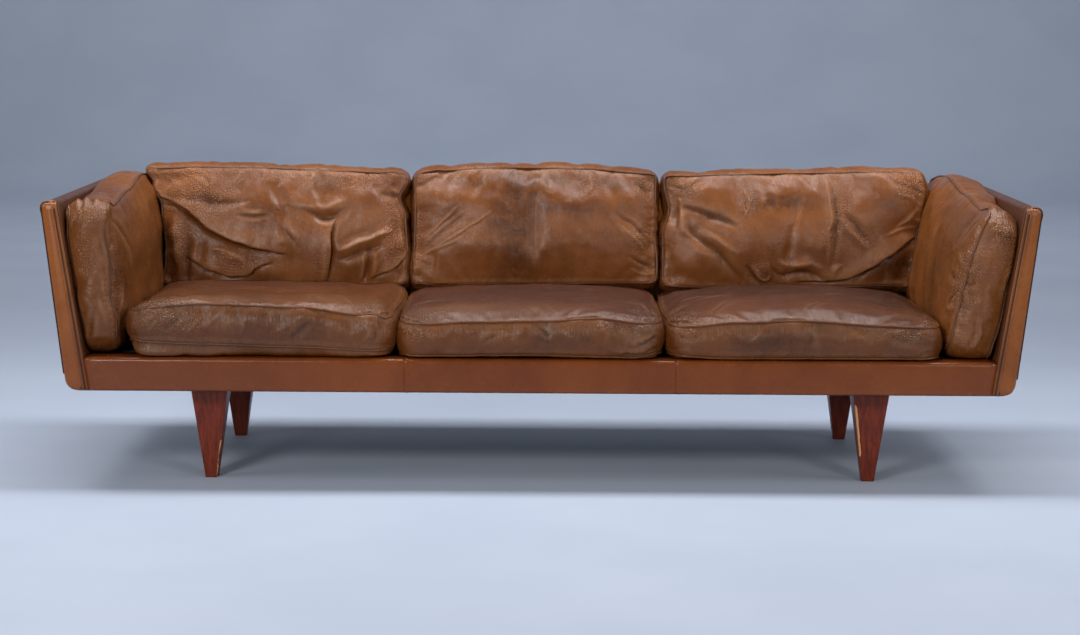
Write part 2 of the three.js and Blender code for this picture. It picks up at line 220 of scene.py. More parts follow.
class Nodes:
    """A short way to write a material's nodes."""

    def __init__(self, name):
        self.material = bpy.data.materials.new(name)
        self.material.use_nodes = True
        self.tree = self.material.node_tree
        self.shader = self.tree.nodes["Principled BSDF"]
        self.where = self.add("ShaderNodeTexCoord").outputs["Object"]

    def add(self, kind, **values):
        node = self.tree.nodes.new(kind)
        for key, value in values.items():
            setattr(node, key, value)
        return node

    def link(self, source, target):
        if isinstance(source, (int, float)):
            target.default_value = source
        elif isinstance(source, (tuple, list)):
            target.default_value = (*source, 1.0) if len(source) == 3 else source
        else:
            self.tree.links.new(source, target)

    def scaled(self, stretch):
        node = self.add("ShaderNodeMapping")
        self.link(self.where, node.inputs["Vector"])
        node.inputs["Scale"].default_value = stretch
        return node.outputs["Vector"]

    def noise(self, scale, detail=4.0, rough=0.55, stretch=None, kind="FBM", warp=0.0):
        node = self.add("ShaderNodeTexNoise", noise_type=kind)
        self.link(self.scaled(stretch) if stretch else self.where, node.inputs["Vector"])
        node.inputs["Scale"].default_value = scale
        node.inputs["Detail"].default_value = detail
        node.inputs["Roughness"].default_value = rough
        node.inputs["Distortion"].default_value = warp
        return node.outputs["Fac"]

    def cells(self, scale, warp):
        """The distance to the walls of a field of cells, walls that wander by warp."""
        shift = self.add("ShaderNodeTexNoise")
        self.link(self.where, shift.inputs["Vector"])
        shift.inputs["Scale"].default_value = scale * 0.6
        scaled = self.add("ShaderNodeVectorMath", operation="SCALE")
        self.link(shift.outputs["Color"], scaled.inputs[0])
        scaled.inputs["Scale"].default_value = warp
        moved = self.add("ShaderNodeVectorMath", operation="ADD")
        self.link(self.where, moved.inputs[0])
        self.link(scaled.outputs[0], moved.inputs[1])
        node = self.add("ShaderNodeTexVoronoi", feature="DISTANCE_TO_EDGE")
        self.link(moved.outputs[0], node.inputs["Vector"])
        node.inputs["Scale"].default_value = scale
        return node.outputs["Distance"]

    def attribute(self, name):
        return self.add("ShaderNodeAttribute", attribute_name=name).outputs["Fac"]

    def ramp(self, value, low, high, start=0.0, end=1.0):
        node = self.add("ShaderNodeMapRange", interpolation_type="SMOOTHSTEP")
        self.link(value, node.inputs["Value"])
        numbers = {"From Min": low, "From Max": high, "To Min": start, "To Max": end}
        for key, number in numbers.items():
            self.link(number, node.inputs[key])
        return node.outputs["Result"]

    def math(self, operation, a, b=0.0):
        node = self.add("ShaderNodeMath", operation=operation)
        self.link(a, node.inputs[0])
        self.link(b, node.inputs[1])
        return node.outputs[0]

    def times(self, a, b):
        return self.math("MULTIPLY", a, b)

    def mix(self, share, a, b):
        node = self.add("ShaderNodeMix", data_type="RGBA")
        self.link(share, node.inputs["Factor"])
        self.link(a, node.inputs["A"])
        self.link(b, node.inputs["B"])
        return node.outputs["Result"]

    def bump(self, height, strength, distance, under=None):
        node = self.add("ShaderNodeBump")
        self.link(height, node.inputs["Height"])
        self.link(strength, node.inputs["Strength"])
        node.inputs["Distance"].default_value = distance
        if under:
            self.link(under, node.inputs["Normal"])
        return node.outputs["Normal"]

    def finish(self, color, roughness, normal=None, **fixed):
        self.link(color, self.shader.inputs["Base Color"])
        self.link(roughness, self.shader.inputs["Roughness"])
        if normal:
            self.link(normal, self.shader.inputs["Normal"])
        for key, value in fixed.items():
            self.shader.inputs[key.replace("_", " ")].default_value = value
        return self.material


def darker(color, share):
    return tuple(share * c for c in color)


def leather(name, base, deep, light, gloss=0.32, marks=True, grain=1.0, wrinkles=1.0, top=None):
    """Aniline leather: mottled, rubbed lighter in places, with a fine grain and pebbled wear.

    With marks it reads the attributes that a cushion carries, painted shade among them, and with top
    a greyer colour of painted shade and sky reflection lies where its attribute says so. Grain and
    wrinkles scale the fine relief.
    """
    m = Nodes(name)

    # Colour: large clouds, blotches of rubbed leather, and a fine fleck.
    cloud = m.noise(4.0, 5.0, 0.6, warp=0.8)
    blotch = m.noise(22.0, 7.0, 0.7)
    fleck = m.noise(170.0, 4.0, 0.7)
    color = m.mix(m.ramp(cloud, 0.34, 0.68), deep, base)
    rough = m.ramp(m.noise(40.0, 6.0, 0.7), 0.3, 0.7, gloss - 0.07, gloss + 0.09)
    # Painted shade and a painted sky reflection: a greyer, darker colour where the attribute says so.
    if top:
        shade_and_reflection = m.attribute("shade_and_reflection")
        color = m.mix(shade_and_reflection, color, top)
        rough = m.math("ADD", rough, m.times(shade_and_reflection, 0.12))
    color = m.mix(m.times(m.ramp(blotch, 0.54, 0.80), 0.22), color, light)
    color = m.mix(m.times(m.ramp(fleck, 0.50, 0.72), 0.30), color, deep)

    # Relief: long wandering wrinkles, a crackle of creases, and the grain itself.
    streak = m.noise(42.0, 7.0, 0.75, stretch=(1.0, 1.0, 1.7), kind="RIDGED_MULTIFRACTAL", warp=0.9)
    crackle = m.cells(120.0, 0.012)
    fine = m.cells(430.0, 0.0016)
    normal = m.bump(m.ramp(streak, 0.4, 2.0), 0.30 * wrinkles, 0.0024)
    normal = m.bump(m.ramp(crackle, 0.0, 0.10), 0.16 * wrinkles, 0.0010, normal)
    normal = m.bump(m.ramp(fine, 0.0, 0.35), 0.20 * grain, 0.0004, normal)
    if not marks:
        return m.finish(color, rough, normal, Specular_IOR_Level=LEATHER_SHEEN)

    # Dark stains, and the broad dark patches of painted shade on the seat tops, break up at their edges
    # and keep a cross-hatch like worn cloth.
    stain_and_shade = m.attribute("stain_and_shade")
    broken = m.ramp(m.noise(46.0, 7.0, 0.75, warp=0.6), 0.30, 0.64)
    level = m.noise(130.0, 3.0, 0.6, stretch=(0.18, 1.0, 1.0))
    plumb = m.noise(130.0, 3.0, 0.6, stretch=(1.0, 0.5, 0.18))
    threads = m.ramp(m.math("MAXIMUM", level, plumb), 0.56, 0.72)
    color = m.mix(m.times(stain_and_shade, broken), color, darker(deep, 0.36))
    color = m.mix(m.times(stain_and_shade, threads), color, darker(deep, 0.22))

    # Painted shade in the hollows and along the seams, and pale leather where it is rubbed.
    color = m.mix(m.times(m.attribute("crease_shade"), 0.80), color, darker(deep, 0.20))
    worn = m.times(m.attribute("rubbed"), m.ramp(fleck, 0.3, 0.6, 0.2, 0.55))
    color = m.mix(worn, color, light)

    # Fine pleats drawn square to the seams, and glossy pebbling where the leather is polished.
    for attribute, stretch in (("pull_up", (1.0, 0.16, 0.16)), ("pull_across", (0.16, 0.5, 1.0))):
        drawn = m.noise(120.0, 4.0, 0.6, stretch=stretch, warp=0.5)
        normal = m.bump(drawn, m.times(m.attribute(attribute), 0.60), 0.0035, normal)
    shine = m.attribute("shine")
    rough = m.math("SUBTRACT", rough, m.times(shine, 0.10))
    pebble = m.ramp(m.cells(165.0, 0.006), 0.0, 0.30)
    normal = m.bump(pebble, m.times(shine, 0.80), 0.0030, normal)
    return m.finish(color, rough, normal, Specular_IOR_Level=LEATHER_SHEEN)


def stained_wood(name, base, deep, bare):
    """Stained timber, upright grain, bare and ragged where the attribute chip says so."""
    m = Nodes(name)
    grain = m.noise(30.0, 7.0, 0.62, stretch=(5.0, 5.0, 0.35), warp=0.4)
    pores = m.noise(160.0, 3.0, 0.6, stretch=(3.0, 3.0, 0.12))
    color = m.mix(m.ramp(grain, 0.35, 0.66), deep, base)
    color = m.mix(m.times(m.ramp(pores, 0.55, 0.7), 0.5), color, darker(deep, 0.5))
    torn = m.math("ADD", m.attribute("chip"), m.times(m.noise(240.0, 4.0), 0.35))
    ragged = m.ramp(torn, 0.55, 0.72)
    color = m.mix(ragged, color, bare)
    rough = m.math("ADD", m.ramp(grain, 0.3, 0.7, 0.36, 0.5), m.times(ragged, 0.3))
    normal = m.bump(pores, 0.12, 0.0006)
    normal = m.bump(m.math("SUBTRACT", 1.0, ragged), 0.5, 0.0012, normal)
    return m.finish(color, rough, normal, Specular_IOR_Level=WOOD_SHEEN)


def plain_wood(name, base, deep, along):
    """Sawn timber with its grain along one axis."""
    m = Nodes(name)
    stretch = [9.0, 9.0, 9.0]
    stretch[along] = 0.5
    grain = m.noise(14.0, 6.0, 0.6, stretch=tuple(stretch), warp=0.5)
    color = m.mix(m.ramp(grain, 0.35, 0.65), deep, base)
    return m.finish(color, 0.72, m.bump(grain, 0.25, 0.001))


def woven(name, base, deep, pitch, rough=0.95):
    """Plain cloth: threads crossing along X and Y, seen as a fine check with slubs."""
    m = Nodes(name)
    split = m.add("ShaderNodeSeparateXYZ")
    m.link(m.where, split.inputs[0])
    along_x, along_y = [
        m.math("SINE", m.times(split.outputs[axis], 2 * math.pi / pitch)) for axis in ("X", "Y")
    ]
    check = m.times(along_x, along_y)
    slub = m.noise(220.0, 3.0)
    color = m.mix(m.ramp(m.math("ADD", check, slub), -0.4, 1.4), deep, base)
    return m.finish(color, rough, m.bump(check, 0.4, 0.0004))


def metal(name, base):
    """Plain bright metal with fine scratches round it."""
    m = Nodes(name)
    scratch = m.noise(180.0, 4.0, 0.6, stretch=(1.0, 1.0, 6.0))
    rough = m.ramp(scratch, 0.3, 0.7, 0.3, 0.5)
    return m.finish(base, rough, m.bump(scratch, 0.08, 0.0003), Metallic=1.0)


RUBBED = (0.42, 0.205, 0.095)  # the back cushions' leather with its colour worn off
TOP_SHADE_AND_REFLECTION = (0.058, 0.018, 0.011)  # painted shade and painted sky reflection on leather that faces up
# painted shade and painted sky reflection on the arms' tops and inner faces
ARM_SHADE_AND_REFLECTION = (0.070, 0.022, 0.009)

ARM_LEATHER = leather(
    "arm_leather", (0.255, 0.076, 0.012), (0.190, 0.050, 0.008), (0.33, 0.125, 0.035),
    gloss=0.30, marks=False, grain=0.4, wrinkles=0.15, top=ARM_SHADE_AND_REFLECTION,
)
RAIL_LEATHER = leather(
    "rail_leather", (0.185, 0.045, 0.007), (0.140, 0.032, 0.005), (0.26, 0.085, 0.022),
    gloss=0.23, marks=False, grain=0.4, wrinkles=0.15,
)
BACK_CUSHION = leather(
    "back_cushion_leather", (0.225, 0.074, 0.018), (0.140, 0.043, 0.010), RUBBED,
    gloss=0.26, grain=1.5, wrinkles=1.4,
)
SEAT_CUSHION = leather(
    "seat_cushion_leather", (0.138, 0.041, 0.007), (0.083, 0.024, 0.005), (0.30, 0.150, 0.070),
    gloss=0.32, top=TOP_SHADE_AND_REFLECTION,
)
ARM_CUSHION = leather(
    "arm_cushion_leather", (0.195, 0.062, 0.013), (0.120, 0.037, 0.009), (0.33, 0.165, 0.08),
    gloss=0.31, top=TOP_SHADE_AND_REFLECTION,
)
ARM_WELT = leather(
    "arm_welt_leather", (0.230, 0.075, 0.018), (0.13, 0.038, 0.010), (0.34, 0.135, 0.05),
    gloss=0.30, marks=False, grain=0.3, wrinkles=0.2,
)
# Near-black tubes sunk between welts and piping: a painted shadow in each seam's groove.
SEAM_SHADOW = leather(
    "seam_shadow_leather", (0.030, 0.010, 0.004), (0.018, 0.006, 0.003), (0.06, 0.022, 0.01),
    gloss=0.5, marks=False, grain=0.3, wrinkles=0.2,
)
WELT = leather(
    "welt_leather", (0.150, 0.050, 0.015), (0.085, 0.027, 0.009), (0.27, 0.11, 0.045),
    gloss=0.32, marks=False, grain=0.4, wrinkles=0.3,
)
LEG_WOOD = stained_wood("leg_wood", (0.195, 0.030, 0.011), (0.10, 0.016, 0.007), (0.62, 0.30, 0.13))
BEECH_X = plain_wood("beech_long", (0.56, 0.38, 0.22), (0.42, 0.26, 0.14), 0)
BEECH_Y = plain_wood("beech_cross", (0.56, 0.38, 0.22), (0.42, 0.26, 0.14), 1)
WADDING = woven("wadding", (0.72, 0.69, 0.60), (0.55, 0.52, 0.45), 0.006)
TICKING = woven("ticking", (0.66, 0.60, 0.49), (0.50, 0.45, 0.36), 0.0016)
RUBBER = woven("rubber_webbing", (0.16, 0.085, 0.045), (0.08, 0.045, 0.025), 0.003, 0.85)
BLACK_CLOTH = woven("black_cloth", (0.016, 0.014, 0.013), (0.007, 0.006, 0.006), 0.0014)
STEEL = metal("steel", (0.55, 0.56, 0.58))


def dress_frame():
    """Every CAD node that stays gets its own finish."""
    for name, node in NODES.items():
        if "_bolt_" in name:
            finish = STEEL
        elif name.endswith("_insert"):
            finish = TICKING
        elif name.endswith("_padding"):
            finish = WADDING
        elif name.startswith("webbing"):
            finish = RUBBER
        elif name in ("seat_deck", "dust_cover"):
            finish = BLACK_CLOTH
        elif name.startswith(("side_rail", "cross_rail", "arm_board", "centre_rail")):
            finish = BEECH_Y
        else:
            finish = BEECH_X
        node.data.materials.clear()
        node.data.materials.append(finish)


# ---- loose cushions -----------------------------------------------------------------------
#
# A cushion is a box of leather panels: its face, its back and a boxing band between them.
# Its own axes are u (to the right, seen from its face), v (up) and w (out of its face).
# An edge of a panel is a list of (t, out, lift): t runs from 0 to 1 along the edge, left to
# right or bottom to top, out is how far it stands out of the rectangle, and lift is along w.
# Strokes (kind, width, depth, points) and patches (across, up, reach across, reach up, amount)
# give their places on a panel in percent of its width and height.

STRAIGHT = [(0, 0, 0), (1, 0, 0)]


def edge_walk(t, half, radius):
    """Places along a rectangle's side with rounded ends: along it, and in from it.

    Each end takes half of its corner's arc, so that two sides meet in the middle of it.
    """
    arc = math.pi * radius / 4
    length = 2 * half - 2 * radius + 2 * arc
    s = np.minimum(t, 1 - t) * length
    turn = np.maximum(math.pi / 4 - s / radius, 0)
    along = np.where(s < arc, -half + radius - radius * np.sin(turn), -half + radius + s - arc)
    along = np.where(t > 0.5, -along, along)
    return along, radius - radius * np.cos(turn)


CORNER_SHARE = 6  # a corner's mismatch is spread over a sixth of the edge


def panel(half_u, half_v, radius, level, edges, counts):
    """A grid of points, in the cushion's own axes, that fills the outline its edges give."""
    tu = np.linspace(0, 1, counts[0] + 1)
    tv = np.linspace(0, 1, counts[1] + 1)
    along_u, in_u = edge_walk(tu, half_u, radius)
    along_v, in_v = edge_walk(tv, half_v, radius)

    def side(name, t, along, inset, sign, across):
        out, lift = eased(edges.get(name, STRAIGHT), t).T
        beyond = sign * ((half_v if across else half_u) - inset + out)
        columns = (along, beyond) if across else (beyond, along)
        return np.stack([*columns, level + lift], 1)

    bottom = side("bottom", tu, along_u, in_u, -1, True)
    top = side("top", tu, along_u, in_u, 1, True)
    left = side("left", tv, along_v, in_v, -1, False)
    right = side("right", tv, along_v, in_v, 1, False)
    corners = [
        (bottom[0] + left[0]) / 2, (bottom[-1] + right[0]) / 2,
        (top[0] + left[-1]) / 2, (top[-1] + right[-1]) / 2,
    ]
    for curve, a, b in ((bottom, 0, 1), (top, 2, 3), (left, 0, 2), (right, 1, 3)):
        first, last = corners[a] - curve[0], corners[b] - curve[-1]
        t = np.linspace(0, 1, len(curve))[:, None]
        curve += first * smooth(1 - CORNER_SHARE * t) + last * smooth(1 - CORNER_SHARE * (1 - t))
    u = tu[:, None, None]
    v = tv[None, :, None]
    across = (1 - u) * left[None] + u * right[None]
    upward = (1 - v) * bottom[:, None] + v * top[:, None]
    c00, c10, c01, c11 = corners
    twice = (1 - u) * (1 - v) * c00 + u * (1 - v) * c10 + (1 - u) * v * c01 + u * v * c11
    return across + upward - twice


def crown_shape(counts, height, power):
    """A grid of heights: a crown that falls to nothing at the panel's edges."""
    across, up = [1 - np.abs(np.linspace(-1, 1, n + 1)) ** power for n in counts]
    return height * across[:, None] * up[None, :]


UNDER_REACH = 34.0  # how far in from its edge an underside has come down to what it rests on
UNDER_BULGE = 0.75  # how far that edge bulges forward, as a share of its drop


def underside(rear, floor):
    """Lets a cushion's underside down to the floor's level in a quarter round."""
    from_front = rear[..., 1] - rear[:, :1, 1]
    from_sides = np.minimum(rear[..., 0] - rear[:1, :, 0], rear[-1:, :, 0] - rear[..., 0])
    share = np.clip(np.minimum(from_front, from_sides) / UNDER_REACH, 0, 1)
    drop = np.maximum(rear[..., 2] - floor, 0)
    bulge = np.sin(np.pi * np.clip(from_front / UNDER_REACH, 0, 1)) * (from_sides > 1)
    rear[..., 1] -= UNDER_BULGE * drop * bulge * np.clip(from_sides / UNDER_REACH, 0, 1)
    rear[..., 2] -= drop * np.sqrt(1 - (1 - share) ** 2)


PANELS = {  # which two of u, v, w run across and up a panel, and where the panel is
    "face": (0, 1, lambda u, v, w: w > 0.999),
    "foot": (0, 2, lambda u, v, w: v < 0.001),
    "head": (0, 2, lambda u, v, w: v > 0.999),
    "start": (2, 1, lambda u, v, w: u < 0.001),
    "end": (2, 1, lambda u, v, w: u > 0.999),
}

CLOTH = {  # Blender's cloth for soft leather, blown up from inside and a little too large
    "quality": 5,
    "mass": 0.25,
    "tension_stiffness": 25,
    "compression_stiffness": 25,
    "shear_stiffness": 8,
    "bending_stiffness": 0.6,
    "air_damping": 3.0,
    "use_pressure": True,
    "uniform_pressure_force": 4.0,
    "shrink_min": -0.03,
}
CLOTH_FRAMES = 20
CLOTH_REACH = 12.0  # the furthest that the pressure may carry a point
ON_EDGE = 1e-4  # a share this near 0 or 1 is on the edge
STROKE_SWAY = 0.9  # how far a stroke wanders off its smooth path
SEAM_HOLD = 18.0  # swells die out this near a seam
PLEAT_REACH = 26.0
BAND_PUCKER = 0.3  # the band's puckers, as a share of the face's
RIPPLE_WAVES = 14
REST_SOFTNESS = 6.0
PIPING = 2.6


class Cushion:
    """One boxed cushion: builds its mesh, inflates it, then takes creases and marks."""

    def __init__(self, name, centre, axes, half, cell, face, back, band, radius):
        self.name = name
        self.centre = np.array(centre, float)
        self.axes = np.array(axes, float)
        self.half = half
        nu, nv, nw = [max(int(round(2 * h / c)), 4) for h, c in zip(half, cell)]
        front = panel(half[0], half[1], radius, half[2], face["edges"], (nu, nv))
        rear = panel(half[0], half[1], radius, -half[2], back["edges"], (nu, nv))
        front[..., 2] += crown_shape((nu, nv), face["crown"], face["power"])
        rear[..., 2] -= crown_shape((nu, nv), back["crown"], back["power"])
        if "floor" in back:
            underside(rear, back["floor"] - self.centre[2])

        def band_bulge(i, j, share):
            """The band stands out most half way between the seams."""
            out = np.array([(i == nu) - (i == 0), (j == nv) - (j == 0), 0], float)
            across = band["side"] * abs(out[0])
            up = (band["foot"] if j == 0 else band["head"]) * abs(out[1])
            amount = (across + up) / 2 if across and up else across + up
            return out / np.linalg.norm(out) * amount * math.sin(math.pi * share) ** 0.8

        keys, points, faces = {}, [], []

        def vertex(i, j, k):
            if (i, j, k) not in keys:
                share = k / nw
                point = rear[i, j] + (front[i, j] - rear[i, j]) * share
                if 0 < k < nw:
                    point = point + band_bulge(i, j, share)
                keys[(i, j, k)] = len(points)
                points.append((point, i / nu, j / nv, share))
            return keys[(i, j, k)]

        def quad(corners, flip):
            faces.append(tuple(vertex(*c) for c in (reversed(corners) if flip else corners)))

        for i in range(nu):
            for j in range(nv):
                for k, flip in ((nw, False), (0, True)):
                    quad([(i, j, k), (i + 1, j, k), (i + 1, j + 1, k), (i, j + 1, k)], flip)
        for k in range(nw):
            for i in range(nu):
                for j, flip in ((0, False), (nv, True)):
                    quad([(i, j, k), (i + 1, j, k), (i + 1, j, k + 1), (i, j, k + 1)], flip)
            for j in range(nv):
                for i, flip in ((nu, False), (0, True)):
                    quad([(i, j, k), (i, j + 1, k), (i, j + 1, k + 1), (i, j, k + 1)], flip)
        local = np.array([p[0] for p in points])
        self.piece = new_piece(name, self.to_world(local), faces, None, None)
        for key, column in (("pu", 1), ("pv", 2), ("pw", 3)):
            set_attribute(self.piece, key, [p[column] for p in points])

    def to_world(self, local):
        return self.centre + local @ self.axes

    def params(self):
        """Every point's place in the box, from 0 to 1 along u, v and w."""
        return [get_attribute(self.piece, key) for key in ("pu", "pv", "pw")]

    def on_seam(self):
        pu, pv, pw = self.params()
        rim = (np.minimum(pu, 1 - pu) < ON_EDGE) | (np.minimum(pv, 1 - pv) < ON_EDGE)
        return rim & (np.minimum(pw, 1 - pw) < ON_EDGE)

    def inflate(self):
        """Cloth with its seams pinned: the panels swell and buckle where there's leather to spare."""
        before = places(self.piece)
        pins = self.piece.vertex_groups.new(name="seams")
        pins.add(np.flatnonzero(self.on_seam()).tolist(), 1.0, "REPLACE")
        cloth = self.piece.modifiers.new("cloth", "CLOTH")
        for key, value in CLOTH.items():
            setattr(cloth.settings, key, value)
        cloth.settings.vertex_group_mass = pins.name
        cloth.settings.effector_weights.gravity = 0
        cloth.collision_settings.use_collision = False
        cloth.point_cache.frame_start = 1
        cloth.point_cache.frame_end = CLOTH_FRAMES
        scene = bpy.context.scene
        for number in range(1, CLOTH_FRAMES + 1):
            scene.frame_set(number)
        made = self.piece.evaluated_get(bpy.context.evaluated_depsgraph_get())
        co = np.zeros(len(before) * 3)
        made.data.vertices.foreach_get("co", co)
        move = co.reshape(-1, 3) / MM - before
        self.piece.modifiers.clear()
        self.piece.vertex_groups.clear()
        scene.frame_set(1)
        length = np.linalg.norm(move, axis=1)[:, None]
        move *= np.minimum(CLOTH_REACH / np.maximum(length, TINY), 1.0)
        set_places(self.piece, before + move)

    def subdivide(self, levels):
        """Catmull-Clark, applied, with the seams kept as soft edges."""
        modifier = self.piece.modifiers.new("finer", "SUBSURF")
        modifier.levels = levels
        modifier.render_levels = levels
        made = self.piece.evaluated_get(bpy.context.evaluated_depsgraph_get())
        mesh = bpy.data.meshes.new_from_object(made)
        coarse = self.piece.data
        self.piece.modifiers.clear()
        self.piece.data = mesh
        bpy.data.meshes.remove(coarse)
        mesh.name = self.name

    def panel_places(self, on):
        """Every point's place on a panel in millimetres, the panel's size, who is on it, its axes."""
        params = self.params()
        across, up, there = PANELS[on]
        size = 2 * np.array([self.half[across], self.half[up]])
        here = np.stack([params[across] * size[0], params[up] * size[1]], 1)
        return here, size, there(*params), self.axes[[across, up]]

    def stroke_field(self, points, on):
        """Who is on the panel, and each one's distance to the stroke, side, place along, way off."""
        whole, size, part, axes = self.panel_places(on)
        chosen = np.flatnonzero(part)
        here = whole[chosen]
        sway = np.sin(here[:, ::-1] / 9.0 + (1.0, 2.3)) + 0.6 * np.sin(here / 5.3 + (0.4, 3.1))
        here = here + STROKE_SWAY * sway
        path = curve_through(np.array(points) / 100 * size, 8 * len(points))
        distance = np.full(len(here), np.inf)
        side = np.zeros(len(here))
        along = np.zeros(len(here))
        away = np.zeros((len(here), 2))
        for k in range(len(path) - 1):
            a, d = path[k], path[k + 1] - path[k]
            t = np.clip(((here - a) @ d) / max(d @ d, TINY), 0, 1)
            off = here - a - t[:, None] * d
            length = np.linalg.norm(off, axis=1)
            nearer = length < distance
            distance = np.where(nearer, length, distance)
            side = np.where(nearer, np.sign(d[0] * off[:, 1] - d[1] * off[:, 0]), side)
            along = np.where(nearer, (k + t) / (len(path) - 1), along)
            away = np.where(nearer[:, None], off / np.maximum(length, 1e-6)[:, None], away)
        return chosen, distance, side, along, away @ axes

    def crease(self, strokes, on):
        """Strokes are (kind, width, depth, points): a valley, a ridge, or a fold that overhangs."""
        points = places(self.piece)
        facing = normals(self.piece)
        crease_shade = get_attribute(self.piece, "crease_shade")
        rubbed = get_attribute(self.piece, "rubbed")
        for kind, width, depth, path in strokes:
            on_panel, d, side, along, away = self.stroke_field(path, on)
            fade = np.clip(np.sin(np.pi * along), 0, 1) ** 0.7
            wide = width * (0.5 + 0.5 * fade)
            near = bell(d, wide, 1.4) * fade
            shoulder = bell(d - 2.2 * wide, 1.3 * wide) * fade
            if kind == "valley":
                lift = depth * (0.22 * shoulder - near)
                dip = 0.8 * bell(d, wide / 2.6) * fade
                worn = 0.4 * shoulder
            elif kind == "ridge":
                lift = depth * (near - 0.15 * shoulder)
                dip = 0 * d
                worn = 0.8 * near
            else:
                upper = fade / (1 + np.exp(-side * d / 0.8))
                lower = fade - upper
                lip = bell(d, 2.4 * wide) * upper
                lift = depth * (0.7 * lip - bell(d, 1.2 * wide) * lower)
                shift = -0.7 * depth * bell(d, 1.6 * wide) * upper
                points[on_panel] += away * shift[:, None]
                dip = bell(d, wide / 1.9) * lower
                worn = 0.6 * lip
            points[on_panel] += facing[on_panel] * lift[:, None]
            # Painted shade in the stroke's valley and under its fold.
            crease_shade[on_panel] = np.maximum(crease_shade[on_panel], dip)
            rubbed[on_panel] = np.maximum(rubbed[on_panel], worn)
        set_places(self.piece, points)
        set_attribute(self.piece, "crease_shade", np.clip(crease_shade, 0, 1))
        set_attribute(self.piece, "rubbed", np.clip(rubbed, 0, 1))

    def spots(self, patches, on):
        """How much of each patch (across, up, reach across, reach up, amount) every point gets."""
        here, size, part, _ = self.panel_places(on)
        for a, b, reach_a, reach_b, amount in patches:
            middle = np.array([a, b]) / 100 * size
            reach = np.array([reach_a, reach_b]) / 100 * size
            yield amount * part * np.exp(-(((here - middle) / reach) ** 2).sum(1))

    def swell(self, patches, on):
        """Broad soft humps and dents, as high as their patch says in millimetres."""
        lift = sum(self.spots(patches, on)) * smooth(self.seam_distance() / SEAM_HOLD)
        set_places(self.piece, places(self.piece) + normals(self.piece) * lift[:, None])

    def seam_distance(self):
        """How far each point is from the nearest seam, in millimetres."""
        pu, pv, pw = self.params()
        size = 2 * np.array(self.half)
        inside = np.minimum(np.minimum(pu, 1 - pu) * size[0], np.minimum(pv, 1 - pv) * size[1])
        across_band = np.minimum(pw, 1 - pw) * size[2]
        return np.where(across_band < 0.05, inside, across_band)

    def shade_and_wear_seams(self):
        """Painted shade in the seams, pale rubbing beside them, and where the leather is drawn up to
        them.
        """
        pu, pv, _ = self.params()
        d = self.seam_distance()
        for name, shade_and_rubbing in (("crease_shade", 0.85 * bell(d, 4.0)), ("rubbed", 0.4 * bell(d - 8, 5))):
            set_attribute(self.piece, name, np.maximum(get_attribute(self.piece, name), shade_and_rubbing))
        for name, share, half in (("pull_up", pv, self.half[1]), ("pull_across", pu, self.half[0])):
            distance = np.minimum(share, 1 - share) * 2 * half
            set_attribute(self.piece, name, np.exp(-np.maximum(distance - 3, 0) / PLEAT_REACH))

    def gather(self, seed, count, reach, height):
        """Puckers that run square out of the face's seams: count to each 100 mm, on face and band."""
        rng = np.random.default_rng(seed)
        pu, pv, pw = self.params()
        points = places(self.piece)
        facing = normals(self.piece)
        size = 2 * np.array(self.half)
        down = (1 - pw) * size[2]
        lift = np.zeros(len(points))
        for axis_along, axis_in, end in ((0, 1, 0), (0, 1, 1), (1, 0, 0), (1, 0, 1)):
            along = (pu, pv)[axis_along] * size[axis_along]
            inset = np.abs((pu, pv)[axis_in] - end)
            inward = inset * size[axis_in]
            on_face = (pw > 0.999) * smooth(inward / 5)
            on_band = (pw < 0.999) * (inset < ON_EDGE) * smooth(down / 5) * BAND_PUCKER
            for _ in range(int(count * size[axis_along] / 100)):
                at = rng.beta(0.7, 0.7) * size[axis_along]
                width = rng.uniform(3.5, 7.0)
                lean = rng.normal(0, 0.35)
                long = reach * rng.uniform(0.5, 1.4)
                tall = height * rng.uniform(-1.0, 0.9)
                lift += tall * on_face * bell(along - at - lean * inward, width) * np.exp(-inward / long)
                lift += tall * on_band * bell(along - at + lean * down, width) * np.exp(-down / long)
        set_places(self.piece, points + facing * lift[:, None])

    def ripple(self, seed, height, wavelength):
        """Unevenness of an old filling, over the whole cushion but its seams."""
        rng = np.random.default_rng(seed)
        points = places(self.piece)
        facing = normals(self.piece)
        lift = np.zeros(len(points))
        for _ in range(RIPPLE_WAVES):
            wave = rng.normal(size=3)
            wave *= 2 * math.pi / (wavelength * rng.uniform(0.6, 1.8) * np.linalg.norm(wave))
            lift += np.sin(points @ wave + rng.uniform(0, 2 * math.pi))
        lift *= ~self.on_seam() * height / 4
        set_places(self.piece, points + facing * lift[:, None])

    def mark(self, name, patches, on):
        """Raises what the leather reads under a name to each patch's strength."""
        values = get_attribute(self.piece, name)
        for spot in self.spots(patches, on):
            values = np.maximum(values, spot)
        set_attribute(self.piece, name, np.clip(values, 0, 1))

    def keep_inside(self, normal, level):
        """Flattens the cushion where it rests against a plane: points stay on its inner side."""
        normal = np.array(normal, float)
        normal /= np.linalg.norm(normal)
        points = places(self.piece)
        beyond = points @ normal - level
        squashed = -REST_SOFTNESS * np.exp(-(beyond + REST_SOFTNESS) / REST_SOFTNESS)
        pressed = np.where(beyond > -REST_SOFTNESS, squashed, beyond)
        set_places(self.piece, points + normal * (pressed - beyond)[:, None])

    def seam_path(self, which):
        """The face's or the back's seam, in order round the cushion."""
        pu, pv, pw = self.params()
        chosen = np.flatnonzero(self.on_seam() & ((pw > 0.5) if which == "face" else (pw < 0.5)))
        u, v = pu[chosen], pv[chosen]
        bottom, right, top = v < ON_EDGE, u > 1 - ON_EDGE, v > 1 - ON_EDGE
        turn = np.select([bottom, right, top], [u, 1 + v, 3 - u], 4 - v)
        return places(self.piece)[chosen[np.argsort(turn)]]

